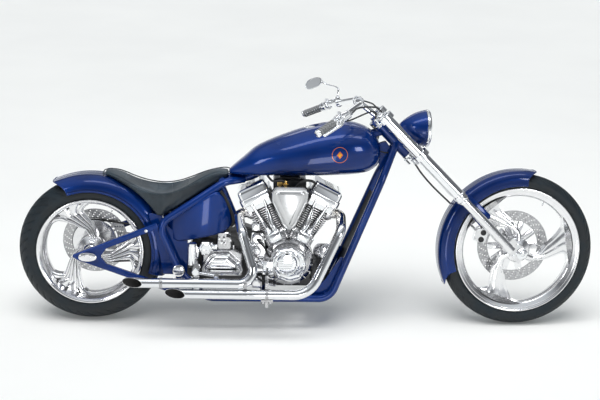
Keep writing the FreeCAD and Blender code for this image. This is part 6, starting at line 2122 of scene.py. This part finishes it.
def sideStand():
    pivot = Vector((760, 176, 150))
    foot = Vector((805, 300, 300 * math.tan(math.radians(6))))
    leg = (foot - pivot).normalized()
    axis = leg.cross(Vector((-1, 0.08, 0.05)).normalized()).normalized()
    floorUp = Vector((0, -math.sin(math.radians(6)), math.cos(math.radians(6))))
    shape = bmesh.new()
    spin(shape, [(8.06, -11), (17, -11), (19, -9), (19, 8), (17, 10), (8.06, 10)], aimed(pivot, axis), 40,
         looped=True)
    start = pivot + leg * 14
    stop = foot + floorUp * 8 - leg * 2
    rings = []
    across = axis.cross(leg).normalized()
    for t, wide, deep in ((0, 13, 8), (0.15, 11, 7.5), (0.5, 9.5, 7), (0.85, 9, 7), (0.96, 11, 8),
                          (1, 12, 8.5)):
        spot = start + (stop - start) * t
        rings.append([spot + across * (wide * math.cos(a)) + axis * (deep * math.sin(a))
                      for a in (2 * math.pi * k / 20 for k in range(20))])
    skin(shape, rings)
    toe = []
    for number in range(36):
        angle = 2 * math.pi * number / 36
        toe.append((26 * math.cos(angle), 20 * math.sin(angle)))
    flat = Matrix.Translation(foot) @ floorUp.to_track_quat("Z", "X").to_matrix().to_4x4()
    slab(shape, toe, [(2, 0.05), (0, 1.4), (0, 4), (1.5, 6), (6, 7.6), (12, 8)], flat)
    lugSpot = pivot + leg * 52 + across * 10
    rod(shape, lugSpot, lugSpot + axis * 16, 4, 12)
    piece("sideStandLeg", shape, standPlace, [blackCoat], "side_stand", ("side_stand",), 34)
    shape = bmesh.new()
    first = lugSpot + axis * 13
    last = pivot - leg * 10 + across * 6 + axis * 13
    way = last - first
    coils = []
    turns = 11
    side = way.normalized().orthogonal()
    other = way.normalized().cross(side)
    for number in range(turns * 12 + 1):
        t = number / (turns * 12)
        angle = 2 * math.pi * turns * t
        swell = 5 * min(1, 8 * t, 8 * (1 - t))
        coils.append(first + way * t + (side * math.cos(angle) + other * math.sin(angle)) * swell)
    tubeAlong(shape, coils, 1.2, 6)
    piece("standSpring", shape, standPlace, [steel], "side_stand", crease=60)
    screw("frame", standPlace, pivot + axis * 15, axis, 6)


footTrim()
hangerTrim()
sideStand()
for body, rows in screws.items():
    if rows:
        mesh = screwMesh(body + "Screws", rows, {"head": 0.62, "washer": 1.32}, chrome)
        mesh.set_sharp_from_angle(angle=math.radians(30))
        given(linked(body + "ScrewHeads", mesh), body)
print("trim made,", sum(len(rows) for rows in screws.values()), "screws")

# ---- finishes of the parts carried over

carried = {
    bluePaint: ["frame"],
    chrome: ["fork_tubes", "handlebar", "hand_controls", "foot_controls", "triple_clamps"],
    pipeChrome: ["exhaust_pipes"],
    polished: ["fork_legs"],
    steel: ["rear_axle", "front_axle", "stand_pin", "exhaust_hanger"],
    blackRubber: ["drive_belt"],
    mirrorGlass: ["mirror_glass"],
    lensGlass: ["headlight_lens"],
}
for look, names in carried.items():
    for name in names:
        node = frame["nodes"][name]
        for slot in node.material_slots:
            slot.material = look
        if not node.material_slots:
            node.data.materials.append(look)

# ---- floor, light and camera

studio = {
    "floor": (0.885, 0.880, 0.862, 1), "page": (0.915, 0.940, 0.932, 1), "share": 0.12,
    "sun": 2.30, "sunAngle": 50, "sky": 0.30,
}


def floorLayers(desk):
    tone = desk.mix(desk.noise(0.8, 3.0).ramp(0.3, 0.7), studio["floor"], (0.915, 0.910, 0.890, 1))
    plain = desk.node("ShaderNodeBsdfDiffuse", {}, {"Color": tone})
    glow = desk.node("ShaderNodeEmission", {}, {"Color": studio["page"], "Strength": 1.0})
    path = desk.node("ShaderNodeLightPath").socket.node
    seen = (Wire(desk, path.outputs["Is Camera Ray"]) + Wire(desk, path.outputs["Is Glossy Ray"])
            + Wire(desk, path.outputs["Is Transmission Ray"])).clamped()
    return desk.node("ShaderNodeMixShader", {}, {0: seen * studio["share"], 1: plain, 2: glow})


shape = bmesh.new()
for x, y in ((-40, -40), (40, -40), (40, 40), (-40, 40)):
    shape.verts.new((x, y, -0.0004))
shape.faces.new(shape.verts)
floor = linked("studioFloor", meshOf("studioFloor", shape, [finish("studioFloor", floorLayers)], False))

world = bpy.data.worlds.new("studio")
bpy.context.scene.world = world
world.use_nodes = True
world.node_tree.nodes.clear()
desk = Desk(world.node_tree)
height = desk.split(desk.node("ShaderNodeTexCoord", {}, {}, "Generated"))[2]
sky = desk.node("ShaderNodeValToRGB", {"stops": [(0.0, (0.45, 0.47, 0.49, 1)),
                                                 (0.03, (0.60, 0.62, 0.65, 1)),
                                                 (0.12, (0.50, 0.52, 0.54, 1)),
                                                 (0.22, (0.24, 0.25, 0.26, 1)),
                                                 (0.52, (0.13, 0.135, 0.145, 1)),
                                                 (0.72, (0.52, 0.55, 0.58, 1)),
                                                 (1.0, (0.80, 0.84, 0.88, 1))]}, {0: height})
path = desk.node("ShaderNodeLightPath").socket.node
lit = desk.node("ShaderNodeBackground", {}, {"Color": sky, "Strength": 1.0})
ambient = desk.node("ShaderNodeBackground", {}, {"Color": (0.83, 0.93, 1.0, 1), "Strength": studio["sky"]})
page = desk.node("ShaderNodeBackground", {}, {"Color": studio["page"], "Strength": 1.0})
glossy = (Wire(desk, path.outputs["Is Glossy Ray"])
          + Wire(desk, path.outputs["Is Transmission Ray"])).clamped()
seen = desk.node("ShaderNodeMixShader", {}, {0: glossy, 1: ambient, 2: lit})
seen = desk.node("ShaderNodeMixShader", {}, {0: Wire(desk, path.outputs["Is Camera Ray"]), 1: seen,
                                             2: page})
output = world.node_tree.nodes.new("ShaderNodeOutputWorld")
world.node_tree.links.new(seen.socket, output.inputs["Surface"])


def lamp(name, kind, spot, target, **settings):
    data = bpy.data.lights.new(name, kind)
    for key, value in settings.items():
        setattr(data, key, value)
    made = linked(name, data)
    made.matrix_world = aimed(spot, Vector(spot) - Vector(target))
    return made


softSun = lamp("softSun", "SUN", (-0.7, -1.3, 5.0), (0, 0, 0), energy=studio["sun"],
               angle=math.radians(studio["sunAngle"]))
softSun.visible_glossy = False
# columns: name, place, aimed at, width, height, power, lights matt surfaces
for name, spot, target, size, sizeY, energy, matt in (
        ("boxOverhead", (0.1, -0.6, 2.9), (0, 0, 0.5), 3.2, 0.5, 18, True),
        ("boxLeft", (-2.6, -2.6, 1.9), (0, 0, 0.5), 0.7, 1.3, 22, False),
        ("boxRight", (2.3, -3.0, 1.8), (0, 0, 0.5), 0.8, 1.0, 26, False),
        ("boxBack", (0.4, 2.6, 2.2), (0, 0, 0.5), 2.6, 0.6, 7, True),
        ("stripLow", (0.02, -2.45, 0.36), (0, 0, 0.36), 0.50, 0.7, 4.4, False)):
    box = lamp(name, "AREA", spot, target, shape="RECTANGLE", size=size, size_y=sizeY, energy=energy)
    box.visible_camera = False
    box.visible_diffuse = matt

cameraLook = {"spot": (-0.24607, -5.68597, 2.53213), "forward": (0.03435, 0.94380, -0.32872),
              "up": (-0.01543, 0.32938, 0.94407),
              "lens": 1322.26 * 36 / 600}
lens = bpy.data.cameras.new("camera")
lens.lens = cameraLook["lens"]
lens.sensor_width = 36
camera = linked("camera", lens)
back = -Vector(cameraLook["forward"]).normalized()
right = Vector(cameraLook["up"]).cross(back).normalized()
upright = back.cross(right)
turned = Matrix((right, upright, back)).transposed().to_4x4()
camera.matrix_world = Matrix.Translation(cameraLook["spot"]) @ turned
bpy.context.scene.camera = camera
bpy.context.scene.view_settings.view_transform = "Standard"
